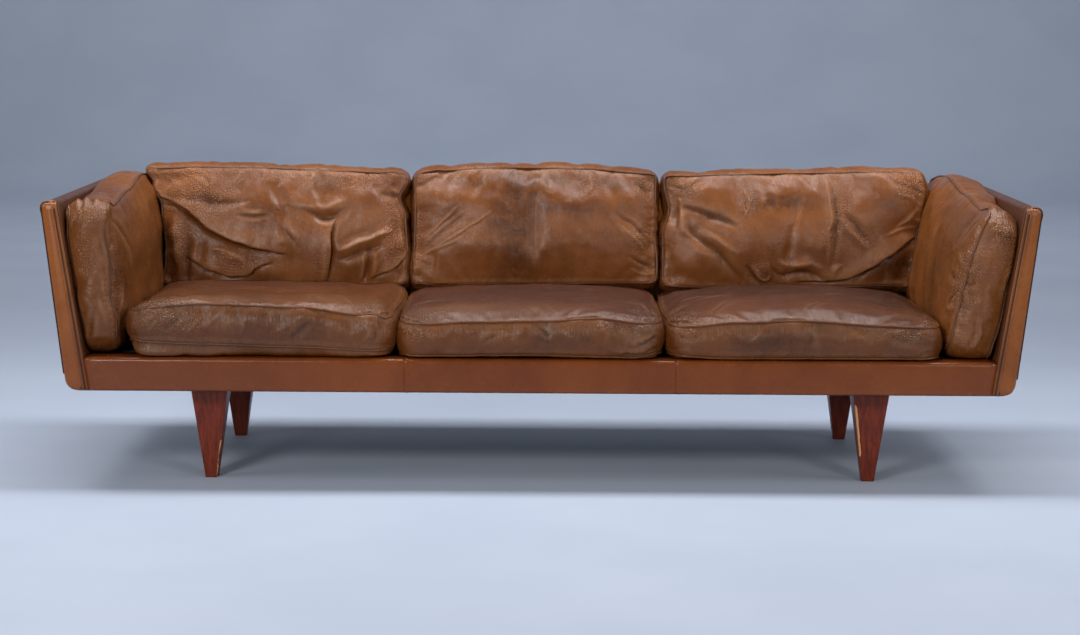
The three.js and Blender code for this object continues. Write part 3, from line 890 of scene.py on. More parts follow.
    def dress(self, material):
        self.piece.data.materials.append(material)
        self.piece.data.polygons.foreach_set("use_smooth", [True] * len(self.piece.data.polygons))
        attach(self.piece, "root")
        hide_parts(f"{self.name}_cover", f"{self.name}_insert")

    def welts(self):
        """Slim self-piping on both seams."""
        parts = [tube(self.seam_path(which), PIPING, 6, True) for which in ("face", "back")]
        new_piece(f"{self.name}_piping", *joined(parts), WELT, "cushion_leather")


def finish_cushion(cushion, material, levels, gather, ripple, swells, creases, marks, rests):
    """The same steps for every cushion, in the order that the real one gets its shape and wear, with
    painted shade laid among the marks.
    """
    cushion.inflate()
    cushion.subdivide(levels)
    # Besides stains and wear, these attributes carry painted shade in hollows and on tops, and a painted
    # sky reflection.
    for name in ("stain_and_shade", "shine", "crease_shade", "rubbed", "shade_and_reflection"):
        set_attribute(cushion.piece, name, np.zeros(len(cushion.piece.data.vertices)))
    cushion.ripple(*ripple)
    cushion.ripple(ripple[0] + 50, 0.35, 34)
    for on, patches in swells.items():
        cushion.swell(patches, on)
    cushion.gather(*gather)
    for on, strokes in creases.items():
        cushion.crease(strokes, on)
    cushion.shade_and_wear_seams()
    for on, groups in marks.items():
        for name, patches in groups.items():
            cushion.mark(name, patches, on)
    for normal, level in rests:
        cushion.keep_inside(normal, level)
    cushion.dress(material)
    cushion.welts()


# ---- the seat cushions --------------------------------------------------------------------

SEAT_CELL = (10.5, 10.5, 11)
SEATS = {
    "left": {
        "seam": [(0, 0, 10), (0.06, 0, 15), (0.28, 0, 22), (0.65, 0, 16), (0.93, 0, -2), (1, 0, -16)],
        "under": [(0, 2, 26), (0.3, 3, 20), (0.6, 2, 14), (1, 2, 6)],
        "belly": 3,
        "crown": 6,
        "level": 386,
    },
    "middle": {
        "seam": [(0, 0, -9), (0.3, 0, -1), (0.55, 0, 2), (0.76, 0, 8), (1, 0, -6)],
        "under": [(0, -2, -7), (0.5, -2, -4), (0.9, -2, -8), (1, -2, 0)],
        "belly": 4,
        "crown": 21,
        "level": 373,
    },
    "right": {
        "seam": [(0, 0, -9), (0.25, 0, 6), (0.5, 0, 10), (0.8, 0, 0), (1, 0, -8)],
        "under": [(0, -2, -3), (0.2, -2, -9), (1, -2, -7)],
        "belly": 4,
        "crown": 27,
        "level": 369,
    },
}
SEAT_SWELLS = {
    "left": [(12, 30, 10, 20, 5), (50, 25, 20, 20, -3), (80, 20, 10, 20, 4)],
    "middle": [(12, 20, 10, 15, 5), (50, 30, 25, 20, 3), (92, 20, 8, 20, 4)],
    "right": [(12, 25, 12, 15, 6), (50, 20, 20, 15, 3), (30, 45, 20, 10, -3)],
}
SEAT_CREASES = {
    "left": {
        "face": [
            ("valley", 5, 2.4, [(13, 2), (17, 10), (22, 14)]),
            ("ridge", 4, 2, [(20, 2), (24, 9), (25, 15)]), ("ridge", 4, 2, [(31, 3), (27, 9), (25, 13)]),
            ("valley", 5, 2.2, [(72, 3), (69, 12), (65, 20)]),
            ("ridge", 4, 2, [(85, 3), (81, 12), (76, 20)]), ("fold", 6, 5, [(88, 5), (94, 3), (99, 8)]),
            ("valley", 6, 3, [(3, 3), (6, 14), (5, 30)]),
        ],
        "foot": [
            ("ridge", 3.4, 2.4, [(3, 42), (7, 66), (12, 94)]),
            ("ridge", 3.4, 2.2, [(6, 32), (10, 56), (16, 80)]),
            ("ridge", 3.2, 2.2, [(10, 42), (14, 62), (20, 76)]),
            ("valley", 4, 2.4, [(12, 30), (17, 56), (21, 92)]),
            ("ridge", 3.2, 2, [(17, 34), (20, 56), (25, 70)]),
            ("ridge", 3, 1.8, [(22, 26), (25, 52), (29, 86)]),
            ("valley", 3.6, 1.8, [(33, 50), (36, 72), (40, 94)]),
            ("ridge", 3.2, 2.2, [(36.5, 50), (39, 56), (38, 84)]),
            ("ridge", 3, 1.7, [(42, 22), (44, 56), (46, 92)]),
            ("valley", 6, 1.8, [(62, 20), (66, 46), (71, 66)]),
            ("ridge", 3.6, 2, [(90, 16), (93, 50), (91, 84)]),
            ("valley", 4.4, 3, [(94, 12), (95.5, 50), (94, 88)]),
            ("valley", 3.6, 2.4, [(90, 16), (95, 14), (100, 20)]),
            ("ridge", 4, 2.4, [(88, 94), (93, 78), (98, 70)]),
        ],
    },
    "middle": {
        "face": [
            ("ridge", 4, 2.6, [(5, 20), (10, 26), (19, 28)]),
            ("valley", 5, 3, [(5, 25), (10, 31), (19, 34)]),
            ("fold", 5, 5, [(0, 9), (3.5, 3.5), (10, 3)]),
            ("ridge", 3, 2.2, [(46, 10), (49, 6), (50, 3)]),
            ("ridge", 3, 2, [(51, 13), (53.5, 8), (55, 3)]),
            ("ridge", 3, 2, [(56, 15), (57.5, 9), (60, 4)]),
            ("valley", 5, 2.6, [(93, 28), (96, 14), (99, 5)]),
            ("ridge", 4, 2.4, [(84, 24), (91, 20), (97, 14)]),
            ("fold", 5, 4, [(90, 3), (96, 3.5), (100, 9)]),
        ],
        "foot": [
            ("ridge", 3.4, 3, [(1, 86), (3, 70), (3.5, 52)]),
            ("ridge", 3.2, 2.4, [(2, 88), (6, 76), (9, 70)]),
            ("valley", 3.4, 2, [(2, 92), (4.5, 74), (6, 60)]),
            ("valley", 3.4, 1.8, [(30, 40), (36, 58), (43, 70)]),
            ("ridge", 3, 1.8, [(32, 34), (38, 60), (45, 66)]),
            ("valley", 3.4, 2, [(53, 95), (56.5, 72), (60, 52)]),
            ("valley", 3.4, 2, [(50, 95), (55, 80), (56, 66)]),
            ("valley", 3.6, 2.2, [(62, 92), (66, 66), (71, 56)]),
            ("ridge", 3, 2, [(76, 88), (80, 62), (79, 40)]),
            ("ridge", 3.4, 2.2, [(84, 90), (87, 70), (93, 64)]),
            ("fold", 6, 6, [(80, 12), (90, 16), (96, 22), (100, 30)]),
            ("fold", 6, 6, [(86, 34), (92, 42), (97, 56), (100, 60)]),
            ("valley", 5, 3.2, [(90, 62), (95, 70), (100, 76)]),
        ],
    },
    "right": {
        "face": [
            ("ridge", 4, 2.8, [(1, 12), (5, 20), (11, 25)]),
            ("valley", 5, 3.2, [(1, 17), (5, 25), (11, 31)]),
            ("ridge", 4, 2.4, [(10, 30), (20, 37), (31, 38)]),
            ("ridge", 3.4, 2, [(2, 40), (12, 48), (20, 50)]),
            ("fold", 6, 6, [(0, 10), (3, 4.5), (12, 3)]), ("valley", 4, 2, [(50, 4), (54, 11), (58, 15)]),
            ("valley", 4, 1.8, [(16, 4), (21, 14), (27, 22)]),
            ("ridge", 3.4, 1.8, [(60, 30), (64, 42), (70, 48)]),
        ],
        "foot": [
            ("ridge", 4, 3.4, [(1, 86), (4.5, 72), (8.5, 90)]),
            ("valley", 4, 3, [(1, 70), (5, 60), (10, 74)]),
            ("ridge", 3.6, 2.2, [(2, 14), (5, 24), (6, 6)]),
            ("ridge", 3.4, 1.8, [(31, 92), (32.5, 70), (30, 52)]),
            ("valley", 5, 1.8, [(48, 72), (52, 56), (50, 40)]),
            ("ridge", 3.4, 1.8, [(66, 84), (69, 70), (73, 62)]),
            ("valley", 4, 2.2, [(78, 86), (86, 58), (96, 52)]),
            ("valley", 4, 2.4, [(92, 10), (96, 22), (100, 20)]),
        ],
    },
}
# The tops' greyer marks are painted shade and sky reflection, and the broad dark patches on the middle
# and right tops are painted shade; the rest are stains, shine and wear.
SEAT_MARKS = {
    "left": {
        "face": {
            "shade_and_reflection": [(50, 90, 80, 50, 0.7)],
            "shine": [(12, 8, 12, 8, 0.9), (90, 8, 10, 10, 0.6)],
            "rubbed": [(25, 5, 25, 7, 0.5), (85, 10, 20, 10, 0.35)],
        },
        "foot": {
            "shine": [(12, 60, 12, 35, 0.8)],
            "stain_and_shade": [(66, 45, 12, 40, 0.6)],
            "rubbed": [(12, 65, 12, 25, 0.45), (38, 55, 3, 20, 0.5)],
        },
    },
    "middle": {
        "face": {
            "shade_and_reflection": [(50, 50, 150, 60, 0.95)],
            "shine": [(6, 8, 10, 10, 0.8), (95, 10, 8, 12, 0.8)],
            "stain_and_shade": [(12, 30, 9, 8, 0.6), (50, 50, 50, 20, 0.4)],
            "rubbed": [(20, 10, 20, 7, 0.5), (50, 8, 20, 5, 0.3)],
        },
        "foot": {
            "shine": [(86, 85, 12, 15, 0.9), (4, 70, 5, 25, 0.7)],
            "stain_and_shade": [(55, 60, 6, 35, 0.7), (68, 50, 6, 20, 0.6)],
        },
    },
    "right": {
        "face": {
            "shade_and_reflection": [(50, 60, 150, 50, 1)],
            "shine": [(5, 8, 8, 10, 0.8), (95, 8, 6, 10, 0.6)],
            "stain_and_shade": [(35, 60, 30, 25, 0.8), (6, 30, 8, 15, 0.6), (85, 55, 20, 40, 0.9)],
        },
        "foot": {
            "shine": [(88, 75, 9, 20, 1), (5, 80, 6, 20, 0.8)],
            "stain_and_shade": [(53, 90, 5, 20, 0.9), (42, 45, 12, 25, 0.6), (24, 40, 5, 20, 0.5)],
        },
    },
}
SEAT_UNDER = 300


def make_seats():
    on_deck = ((0, 0, -1), -(DECK + 0.6))
    for number, (side, shape) in enumerate(SEATS.items()):
        node = f"seat_cushion_{side}"
        low, high = cad_box(f"{node}_cover")
        centre = [(low[0] + high[0]) / 2, (low[1] + high[1]) / 2, (shape["level"] + SEAT_UNDER) / 2]
        half = [(high[0] - low[0]) / 2 - 3, (high[1] - low[1]) / 2 - 5, (shape["level"] - SEAT_UNDER) / 2]
        sag = [(0, -4, 0), (0.5, 3, -6), (1, -4, 0)]
        under_left, under_right = shape["under"][0][2], shape["under"][-1][2]
        back_left, back_right = 0.8 * under_left, 0.8 * under_right
        rear_seam = [(0, 0, -6), (1, 0, -6)]
        face = {
            "edges": {"bottom": shape["seam"], "top": rear_seam, "left": sag, "right": sag},
            "crown": shape["crown"],
            "power": 2.6,
        }
        back = {
            "edges": {
                "bottom": shape["under"],
                "top": [(0, 0, back_left), (1, 0, back_right)],
                "left": [(0, 0, under_left), (1, 0, back_left)],
                "right": [(0, 0, under_right), (1, 0, back_right)],
            },
            "crown": shape["belly"],
            "power": 9,
            "floor": DECK + 1,
        }
        cushion = Cushion(
            node, centre, np.eye(3), half, SEAT_CELL, face, back,
            band={"side": 9, "foot": 12, "head": 9}, radius=54,
        )
        finish_cushion(
            cushion, SEAT_CUSHION, 1, (11 + number, 9, 15, 1.5), (31 + number, 1.8, 120),
            {"face": SEAT_SWELLS[side]}, SEAT_CREASES[side], SEAT_MARKS[side], [on_deck],
        )


# ---- the back cushions --------------------------------------------------------------------

BACK_CELL = (10.5, 10, 13)
BACK_FOOT = (142, 394)  # the face's lower seam: y, z
BACK_HEAD = (200, 662)  # the face's upper seam
BACK_BAND = 104
BACKS = {
    "left": {
        "top": [(0, 10, 0), (0.35, 8, 0), (0.75, 1, 0), (0.93, -4, 0), (1, -10, 0)],
        "bottom": [(0, 6, 0), (0.5, 4, 0), (0.66, 10, 0), (0.75, 12, 0), (1, 0, 0)],
        "left": [(0, -16, 0), (0.3, -16, 0), (0.7, -4, 0), (0.88, 24, 0), (1, 78, 0)],
        "right": [(0, -4, 0), (0.3, 0, 0), (0.6, -5, 0), (0.77, -20, 0), (0.93, -2, 0), (1, -8, 0)],
    },
    "middle": {
        "top": [(0, -6, 0), (0.1, 4, 0), (0.4, 12, 0), (0.7, 10, 0), (1, -2, 0)],
        "bottom": [(0, -1, 0), (0.5, -2, 0), (0.8, -6, 0), (1, -12, 0)],
        "left": [(0, 2, 0), (0.5, -3, 0), (0.9, -2, 0), (1, -10, 0)],
        "right": [(0, -2, 0), (0.15, 1, 0), (0.5, -5, 0), (1, -2, 0)],
    },
    "right": {
        "top": [(0, -10, 0), (0.25, -2, 0), (0.5, 3, 0), (0.9, 8, 0), (1, 4, 0)],
        "bottom": [(0, 2, 0), (0.3, 4, 0), (0.6, 0, 0), (1, -6, 0)],
        "left": [(0, 0, 0), (0.45, 0, 0), (0.68, -14, 0), (0.9, -3, 0), (1, -2, 0)],
        "right": [(0, -20, 0), (0.25, -18, 0), (0.46, -14, 0), (0.6, 0, 0), (0.9, 10, 0), (1, 10, 0)],
    },
}
BACK_SWELLS = {
    "left": [
        (6, 35, 3.5, 25, 9), (14.5, 20, 2, 14, -7), (27, 20, 9, 7, 8), (30, 56, 14, 10, 7),
        (14, 84, 10, 10, 4), (52, 78, 12, 12, -4), (52, 40, 7, 12, 6), (86, 68, 9, 12, 6),
        (66, 58, 5, 5, -7), (76, 20, 3.5, 11, 7), (93, 30, 5, 16, 8), (62, 20, 3.5, 20, 5),
        (45, 12, 10, 6, 5), (72, 78, 6, 10, -4),
    ],
    "middle": [
        (15, 75, 12, 15, 4), (72, 70, 12, 20, 4), (92, 75, 5, 15, 4), (90, 40, 6, 10, 4),
        (30, 30, 15, 15, 2),
    ],
    "right": [
        (6, 50, 3, 12, 6), (12, 85, 7, 7, 5), (40, 42, 14, 14, 5), (16, 50, 5, 10, -4),
        (50, 68, 16, 9, -5), (80, 62, 10, 20, 6), (58, 55, 5, 25, -4), (40, 16, 4, 6, 5),
        (55, 20, 6, 6, 5), (94, 16, 7, 14, -8), (92, 86, 6, 8, 4), (10, 20, 8, 14, 5),
    ],
}
BACK_CREASES = {
    "left": {
        "face": [
            ("fold", 11, 15, [(0, 77), (8, 67), (16.5, 51), (26.5, 39.5), (38, 31), (50, 25)]),
            ("valley", 9, 5, [(2, 77), (13, 71), (22, 68), (36, 70)]),
            ("valley", 4, 3, [(27, 58), (35, 56), (44, 57)]),
            ("ridge", 5, 1.6, [(30, 61), (36, 60), (42, 60)]),
            ("ridge", 12, 5, [(5.5, 60), (5.5, 38), (7, 8)]),
            ("valley", 9, 8, [(10, 42), (10, 22), (11, 0)]),
            ("ridge", 7, 4, [(17, 30), (24, 28), (31, 22), (35, 13)]),
            ("fold", 9, 9, [(9, 25), (16, 15.5), (26, 10), (33, 9), (38, 14), (45, 19)]),
            ("valley", 9, 5, [(50, 67), (60, 61), (67, 58), (72, 62), (78, 72)]),
            ("ridge", 6, 2.4, [(62, 67), (68, 66), (74, 73)]),
            ("fold", 8, 10, [(67.8, 0), (67.2, 20), (67.5, 42), (70, 57)]),
            ("ridge", 6, 5, [(64.5, 36), (65, 18), (65.5, 2)]),
            ("ridge", 8, 9, [(70, 30), (78, 36), (88, 43), (94, 47)]),
            ("valley", 8, 6, [(71, 23), (79, 29), (89, 35)]),
            ("ridge", 5, 7, [(80.6, 33), (81.2, 18), (80.6, 5)]),
            ("valley", 6, 9, [(83.2, 35), (83.6, 20), (82.8, 6)]),
            ("ridge", 5, 5, [(85.7, 30), (86.2, 18), (86, 8)]),
            ("fold", 7, 6, [(85, 8), (91, 13), (96, 19), (100, 28)]),
            ("valley", 6, 3.4, [(90, 80), (95, 77.5), (100, 77)]),
            ("ridge", 5, 2.4, [(93, 86), (97, 82), (100, 81)]),
            ("ridge", 3, 1.6, [(31, 95), (29.5, 90), (29, 85)]),
            ("ridge", 3, 1.8, [(62, 97), (59.5, 91), (58.5, 84)]),
            ("ridge", 3, 1.4, [(79, 95), (78, 90), (77, 85)]),
            ("ridge", 3, 1.6, [(4, 94), (7, 88), (10, 84)]),
            ("ridge", 3, 1.6, [(9, 95), (13, 89), (17, 85)]),
            ("valley", 4, 1.6, [(12, 94), (18, 88), (20, 82)]),
            ("valley", 9, 2.4, [(46, 50), (50, 42), (56, 30)]),
            ("ridge", 8, 4, [(95, 70), (97, 50), (96.5, 30)]),
        ],
    },
    "middle": {
        "face": [
            ("ridge", 3.2, 2.2, [(3, 37), (11, 51), (20, 67)]),
            ("ridge", 3.2, 2.4, [(3, 24), (18, 42), (34, 62)]),
            ("ridge", 3.2, 1.8, [(3, 24), (13, 33), (24, 43)]),
            ("valley", 4, 1.8, [(4, 30), (12, 44), (22, 60)]),
            ("ridge", 3.6, 2.4, [(80, 57), (88, 45), (96, 27)]),
            ("valley", 5, 2.6, [(82, 62), (91, 50), (98, 36)]),
            ("valley", 5, 3, [(87, 26), (94, 19), (100, 13)]),
            ("ridge", 4, 2.4, [(88, 14), (93, 10), (99, 10)]),
            ("ridge", 4, 2.2, [(72, 94), (73.5, 85), (72, 76)]),
            ("ridge", 4, 2, [(30, 93), (29.5, 87), (30.5, 82)]),
            ("valley", 8, 3, [(90, 92), (95, 85), (100, 84)]),
            ("valley", 8, 3, [(0, 86), (5, 88), (10, 94)]),
        ],
    },
    "right": {
        "face": [
            ("ridge", 7, 6, [(4.5, 78), (6, 64), (8.5, 50), (12, 42)]),
            ("valley", 7, 5, [(3, 72), (3.5, 60), (6, 48)]),
            ("valley", 8, 6, [(3, 72), (13, 64), (22, 57), (30, 51)]),
            ("valley", 9, 8, [(8, 54), (15, 41), (22, 29), (31, 6)]),
            ("ridge", 8, 3, [(14, 54), (22, 40), (30, 28)]),
            ("valley", 6, 6, [(32.5, 20), (35, 11), (38, 2)]),
            ("ridge", 5, 5, [(35, 19), (37.2, 10), (40, 7), (42, 13)]),
            ("valley", 7, 6, [(41, 20), (46, 11), (53, 13), (60, 10), (67, 5)]),
            ("ridge", 7, 4, [(44, 22), (50, 19), (57, 20), (64, 15)]),
            ("ridge", 5, 4, [(66, 10), (67, 16), (70, 20)]),
            ("ridge", 6, 6, [(62.5, 95), (62.8, 72), (64.5, 54), (65, 15)]),
            ("valley", 7, 5, [(64.5, 92), (65, 70), (66.7, 50), (66.8, 20)]),
            ("ridge", 6, 4, [(65.5, 60), (72, 48), (79, 31)]),
            ("valley", 7, 4, [(67, 63), (74, 52), (81, 36)]),
            ("fold", 11, 14, [(52, 5), (64, 7), (74, 12.5), (83, 22), (91, 33), (100, 46)]),
            ("ridge", 5, 3, [(30, 85), (31.5, 72), (30.5, 60)]),
            ("valley", 6, 2.4, [(86, 93), (91, 87), (100, 83)]),
            ("ridge", 5, 3, [(90, 50), (94, 58), (98, 70)]),
            ("ridge", 4, 3, [(86, 43), (93, 50), (99, 54)]),
            ("valley", 6, 4, [(2, 90), (8, 86), (14, 95)]),
            ("ridge", 4, 2.6, [(87, 80), (94, 76), (99, 72)]),
        ],
    },
}
BACK_MARKS = {
    "left": {
        "face": {
            "shine": [
                (17, 75, 12, 20, 0.95), (20, 93, 30, 6, 0.7), (95, 50, 6, 40, 0.9), (6, 40, 5, 20, 0.6),
                (30, 20, 10, 10, 0.6), (64, 15, 4, 20, 0.6), (78, 90, 20, 8, 0.7),
            ],
            "stain_and_shade": [(42, 63, 9, 6, 0.9), (25, 62, 9, 6, 0.6), (66, 85, 9, 12, 0.6)],
            "rubbed": [(50, 12, 20, 10, 0.4), (85, 55, 8, 10, 0.4), (50, 30, 5, 5, 0.5)],
        },
    },
    "middle": {
        "face": {
            "shine": [
                (95, 85, 5, 14, 1), (94, 40, 4, 16, 0.9), (2, 50, 3, 35, 0.8), (72, 86, 5, 8, 0.6),
                (2, 93, 5, 5, 0.8),
            ],
            "stain_and_shade": [
                (42, 66, 9.5, 34, 1), (43, 20, 6, 20, 0.8), (60, 64, 20, 5, 0.8), (27, 88, 10, 6, 0.8),
                (83, 87, 8, 6, 0.7), (50, 90, 20, 4, 0.5),
            ],
        },
    },
    "right": {
        "face": {
            "shine": [
                (94, 88, 7, 13, 1), (31, 73, 3, 14, 0.9), (67, 60, 5, 34, 1), (77, 42, 5, 12, 0.9),
                (8, 86, 7, 10, 0.8), (38, 12, 6, 12, 0.7),
            ],
            "stain_and_shade": [
                (42, 72, 15, 8, 0.9), (85, 72, 10, 12, 0.4), (93, 16, 9, 14, 0.9), (20, 64, 6, 5, 0.6),
            ],
        },
    },
}


def make_backs():
    rise = np.array([0, BACK_HEAD[0] - BACK_FOOT[0], BACK_HEAD[1] - BACK_FOOT[1]], float)
    height = np.linalg.norm(rise)
    up = rise / height
    along = np.array([1.0, 0, 0])
    out = np.cross(along, up)
    for number, (side, shape) in enumerate(BACKS.items()):
        node = f"back_cushion_{side}"
        low, high = cad_box(f"{node}_cover")
        middle = np.array([(low[0] + high[0]) / 2, *(np.add(BACK_FOOT, BACK_HEAD) / 2)])
        half = [(high[0] - low[0]) / 2 - 4, height / 2, BACK_BAND / 2]
        cushion = Cushion(
            node, middle - out * BACK_BAND / 2, [along, up, out], half, BACK_CELL,
            {"edges": shape, "crown": 30, "power": 2.8},
            {"edges": shape, "crown": 12, "power": 4},
            band={"side": 8, "foot": 9, "head": 17}, radius=14,
        )
        finish_cushion(
            cushion, BACK_CUSHION, 2, (51 + number, 10, 17, 1.9), (71 + number, 2.4, 120),
            {"face": BACK_SWELLS[side]}, BACK_CREASES[side], BACK_MARKS[side], [],
        )


# ---- the arm cushions ---------------------------------------------------------------------

ARM_CELL = (10, 9, 10)
ARM_LOW_IN = (1000, 213)  # the arm's inner face: x, z at its foot
ARM_HIGH_IN = (1065, 630)
ARM_PAD_FACE = {
    "left": {"foot": 936, "head": 963},
    "right": {"foot": 905, "head": 997},
}
ARM_PAD_BAND = 100
ARM_PAD_Y = (-338, 322)
ARM_PAD_Z = (300, 628)
ARM_PAD_EDGES = {  # as seen on the left cushion: its front is at the start of u
    "inner": {
        "bottom": [(0, -12, -4), (0.1, -5, 0), (1, -4, 0)],
        "top": [(0, -14, 0), (0.05, -8, 0), (0.12, -14, 0), (0.45, 6, 0), (0.75, 28, 0), (1, 18, 0)],
        "front": [(0, -8, -8), (0.2, 3, -1), (0.38, 0, -9), (0.6, -2, -3), (0.8, 2, -8), (1, -6, 3)],
        "rear": [(0, 0, 12), (0.6, 0, 10), (1, 0, 0)],
    },
    "outer": {
        "bottom": [(0, -16, 6), (0.1, -10, 4), (1, -6, 4)],
        "top": [(0, -30, 12), (0.05, -14, 10), (0.14, -16, 8), (0.45, 0, 8), (0.75, 20, 6), (1, 10, 4)],
        "front": [(0, -12, 6), (0.3, 0, 6), (0.5, -2, 10), (0.75, 0, 6), (1, -10, 12)],
        "rear": [(0, 0, 0), (1, 0, 0)],
    },
}
RIGHT_PAD_SEAM = [
    (0, -8, 8), (0.12, 0, 4), (0.3, 1, 6), (0.5, -1, 10), (0.7, 1, 12), (0.88, 0, 9), (1, -6, 2),
]
RIGHT_PAD_REAR = [(0, 0, 32), (1, 0, 38)]
RIGHT_PAD_TOP = [(0, -62, 12), (0.08, -48, 10), (0.3, -24, 8), (0.55, 0, 8), (0.8, 16, 6), (1, 8, 4)]
RIGHT_PAD_TWIST = 38  # how much further its inner top seam stands out at the rear
ARM_LEAN = (ARM_LOW_IN[0] - ARM_HIGH_IN[0]) / (ARM_HIGH_IN[1] - ARM_LOW_IN[1])
ARM_PAD_DETAIL = {  # also as on the left one: across from the front, or across from the arm's side
    "left": {
        "face": [
            ("valley", 6, 2.6, [(3, 10), (7, 24), (10, 30)]),
            ("ridge", 5, 2.2, [(2, 20), (6, 34), (8, 46)]),
            ("valley", 8, 3, [(4, 90), (12, 80), (20, 62)]),
            ("ridge", 9, 2.4, [(6, 82), (13, 70), (18, 52)]),
        ],
        "front": [
            ("ridge", 3, 2.4, [(16, 99), (12, 93), (13, 84)]),
            ("valley", 3, 3.4, [(24, 100), (20, 93), (22, 85)]),
            ("ridge", 3, 2.4, [(33, 100), (33, 95), (30, 90)]),
            ("ridge", 3, 2.4, [(48, 100), (50, 95.5), (47, 92)]),
            ("valley", 3, 3, [(56, 100), (58, 96), (56, 92)]),
            ("ridge", 3, 2.4, [(66, 100), (68, 95), (66, 90)]),
            ("valley", 3, 3, [(78, 100), (80, 94), (84, 88)]),
            ("valley", 5, 3, [(92, 80), (84, 70), (90, 60)]),
            ("valley", 5, 3, [(30, 2), (40, 16), (55, 30)]),
            ("ridge", 4, 2.4, [(80, 14), (70, 30), (75, 42)]),
            ("ridge", 4, 2.4, [(90, 30), (80, 42), (78, 55)]),
            ("valley", 4, 2.4, [(12, 50), (10, 30), (20, 10)]),
        ],
        "head": [
            ("ridge", 4, 3, [(0, 24), (3, 26), (7, 22)]), ("ridge", 4, 3, [(0, 46), (3.5, 44), (8, 50)]),
            ("valley", 5, 4, [(0, 34), (3, 35), (9, 34)]), ("valley", 5, 4, [(0, 58), (4, 60), (10, 64)]),
            ("ridge", 4, 3, [(0, 72), (3, 70), (8, 76)]),
            ("valley", 14, 8, [(16, 20), (17, 50), (15, 90)]),
        ],
        "shine": [(50, 96, 50, 6, 1), (50, 70, 35, 20, 0.7), (95, 30, 15, 30, 0.7)],
        "stain_and_shade": [(10, 55, 8, 30, 0.5), (35, 50, 10, 50, 0.4)],
    },
    "right": {
        "face": [
            ("valley", 7, 4, [(2, 50), (7, 50), (13, 53)]), ("ridge", 5, 3, [(1, 55), (6, 62), (9, 66)]),
            ("valley", 5, 3, [(1, 44), (6, 36), (8, 30)]), ("ridge", 5, 3, [(1.5, 32), (5, 30), (9, 33)]),
            ("valley", 8, 3, [(3, 94), (10, 84), (14, 70)]),
        ],
        "front": [
            ("ridge", 3.5, 2, [(86, 99), (85, 95), (87, 90)]),
            ("valley", 3.5, 2.6, [(78, 99), (80, 94), (84, 88)]),
            ("ridge", 3.5, 1.6, [(70, 99), (73, 95), (76, 90)]),
            ("ridge", 3.5, 1.6, [(45, 98), (48, 92), (50, 86)]),
            ("valley", 5, 5, [(100, 50), (88, 48), (76, 52)]),
            ("ridge", 4, 4, [(100, 56), (90, 58), (82, 64)]),
            ("ridge", 4, 4, [(100, 44), (90, 40), (83, 34)]),
            ("valley", 5, 4, [(98, 38), (88, 30), (80, 24)]),
            ("ridge", 4, 3, [(10, 80), (16, 60), (10, 40)]),
            ("ridge", 5, 3, [(50, 30), (42, 16), (50, 4)]),
            ("valley", 5, 3, [(62, 30), (56, 14), (66, 3)]),
        ],
        "head": [
            ("valley", 5, 2.4, [(1, 70), (3, 72), (8, 78)]),
            ("ridge", 4, 1.8, [(1, 82), (3.5, 84), (7, 90)]),
            ("valley", 14, 5, [(20, 20), (21, 50), (18, 90)]),
        ],
        "shine": [(45, 88, 40, 10, 1), (90, 50, 20, 18, 1), (20, 70, 20, 20, 0.6)],
        "stain_and_shade": [(15, 75, 12, 20, 0.6), (30, 45, 12, 40, 0.5)],
    },
}


def turned(rows):
    """Strokes or patches as they lie on the right-hand arm cushion, whose u runs the other way."""
    if isinstance(rows[0][0], str):
        return [(*head, [(100 - a, b) for a, b in reversed(path)]) for *head, path in rows]
    return [(100 - a, *rest) for a, *rest in rows]


def arm_pad_panels(s):
    """The arm cushion's two panels: the one that faces the seat, and the one against the arm."""
    panels = []
    for face, crown, power in (("inner", 20, 3), ("outer", 16, 12)):
        edges = dict(ARM_PAD_EDGES[face])
        if s > 0 and face == "inner":
            edges["top"] = [(t, o, w + RIGHT_PAD_TWIST * t) for t, o, w in edges["top"]]
            edges["front"] = RIGHT_PAD_SEAM
            edges["rear"] = RIGHT_PAD_REAR
        elif s > 0:
            edges["top"] = RIGHT_PAD_TOP
        front, rear = edges.pop("front"), edges.pop("rear")
        if s > 0:
            edges = {key: [(1 - t, o, w) for t, o, w in reversed(r)] for key, r in edges.items()}
        edges["left"], edges["right"] = (rear, front) if s > 0 else (front, rear)
        panels.append({"edges": edges, "crown": crown, "power": power})
    return panels


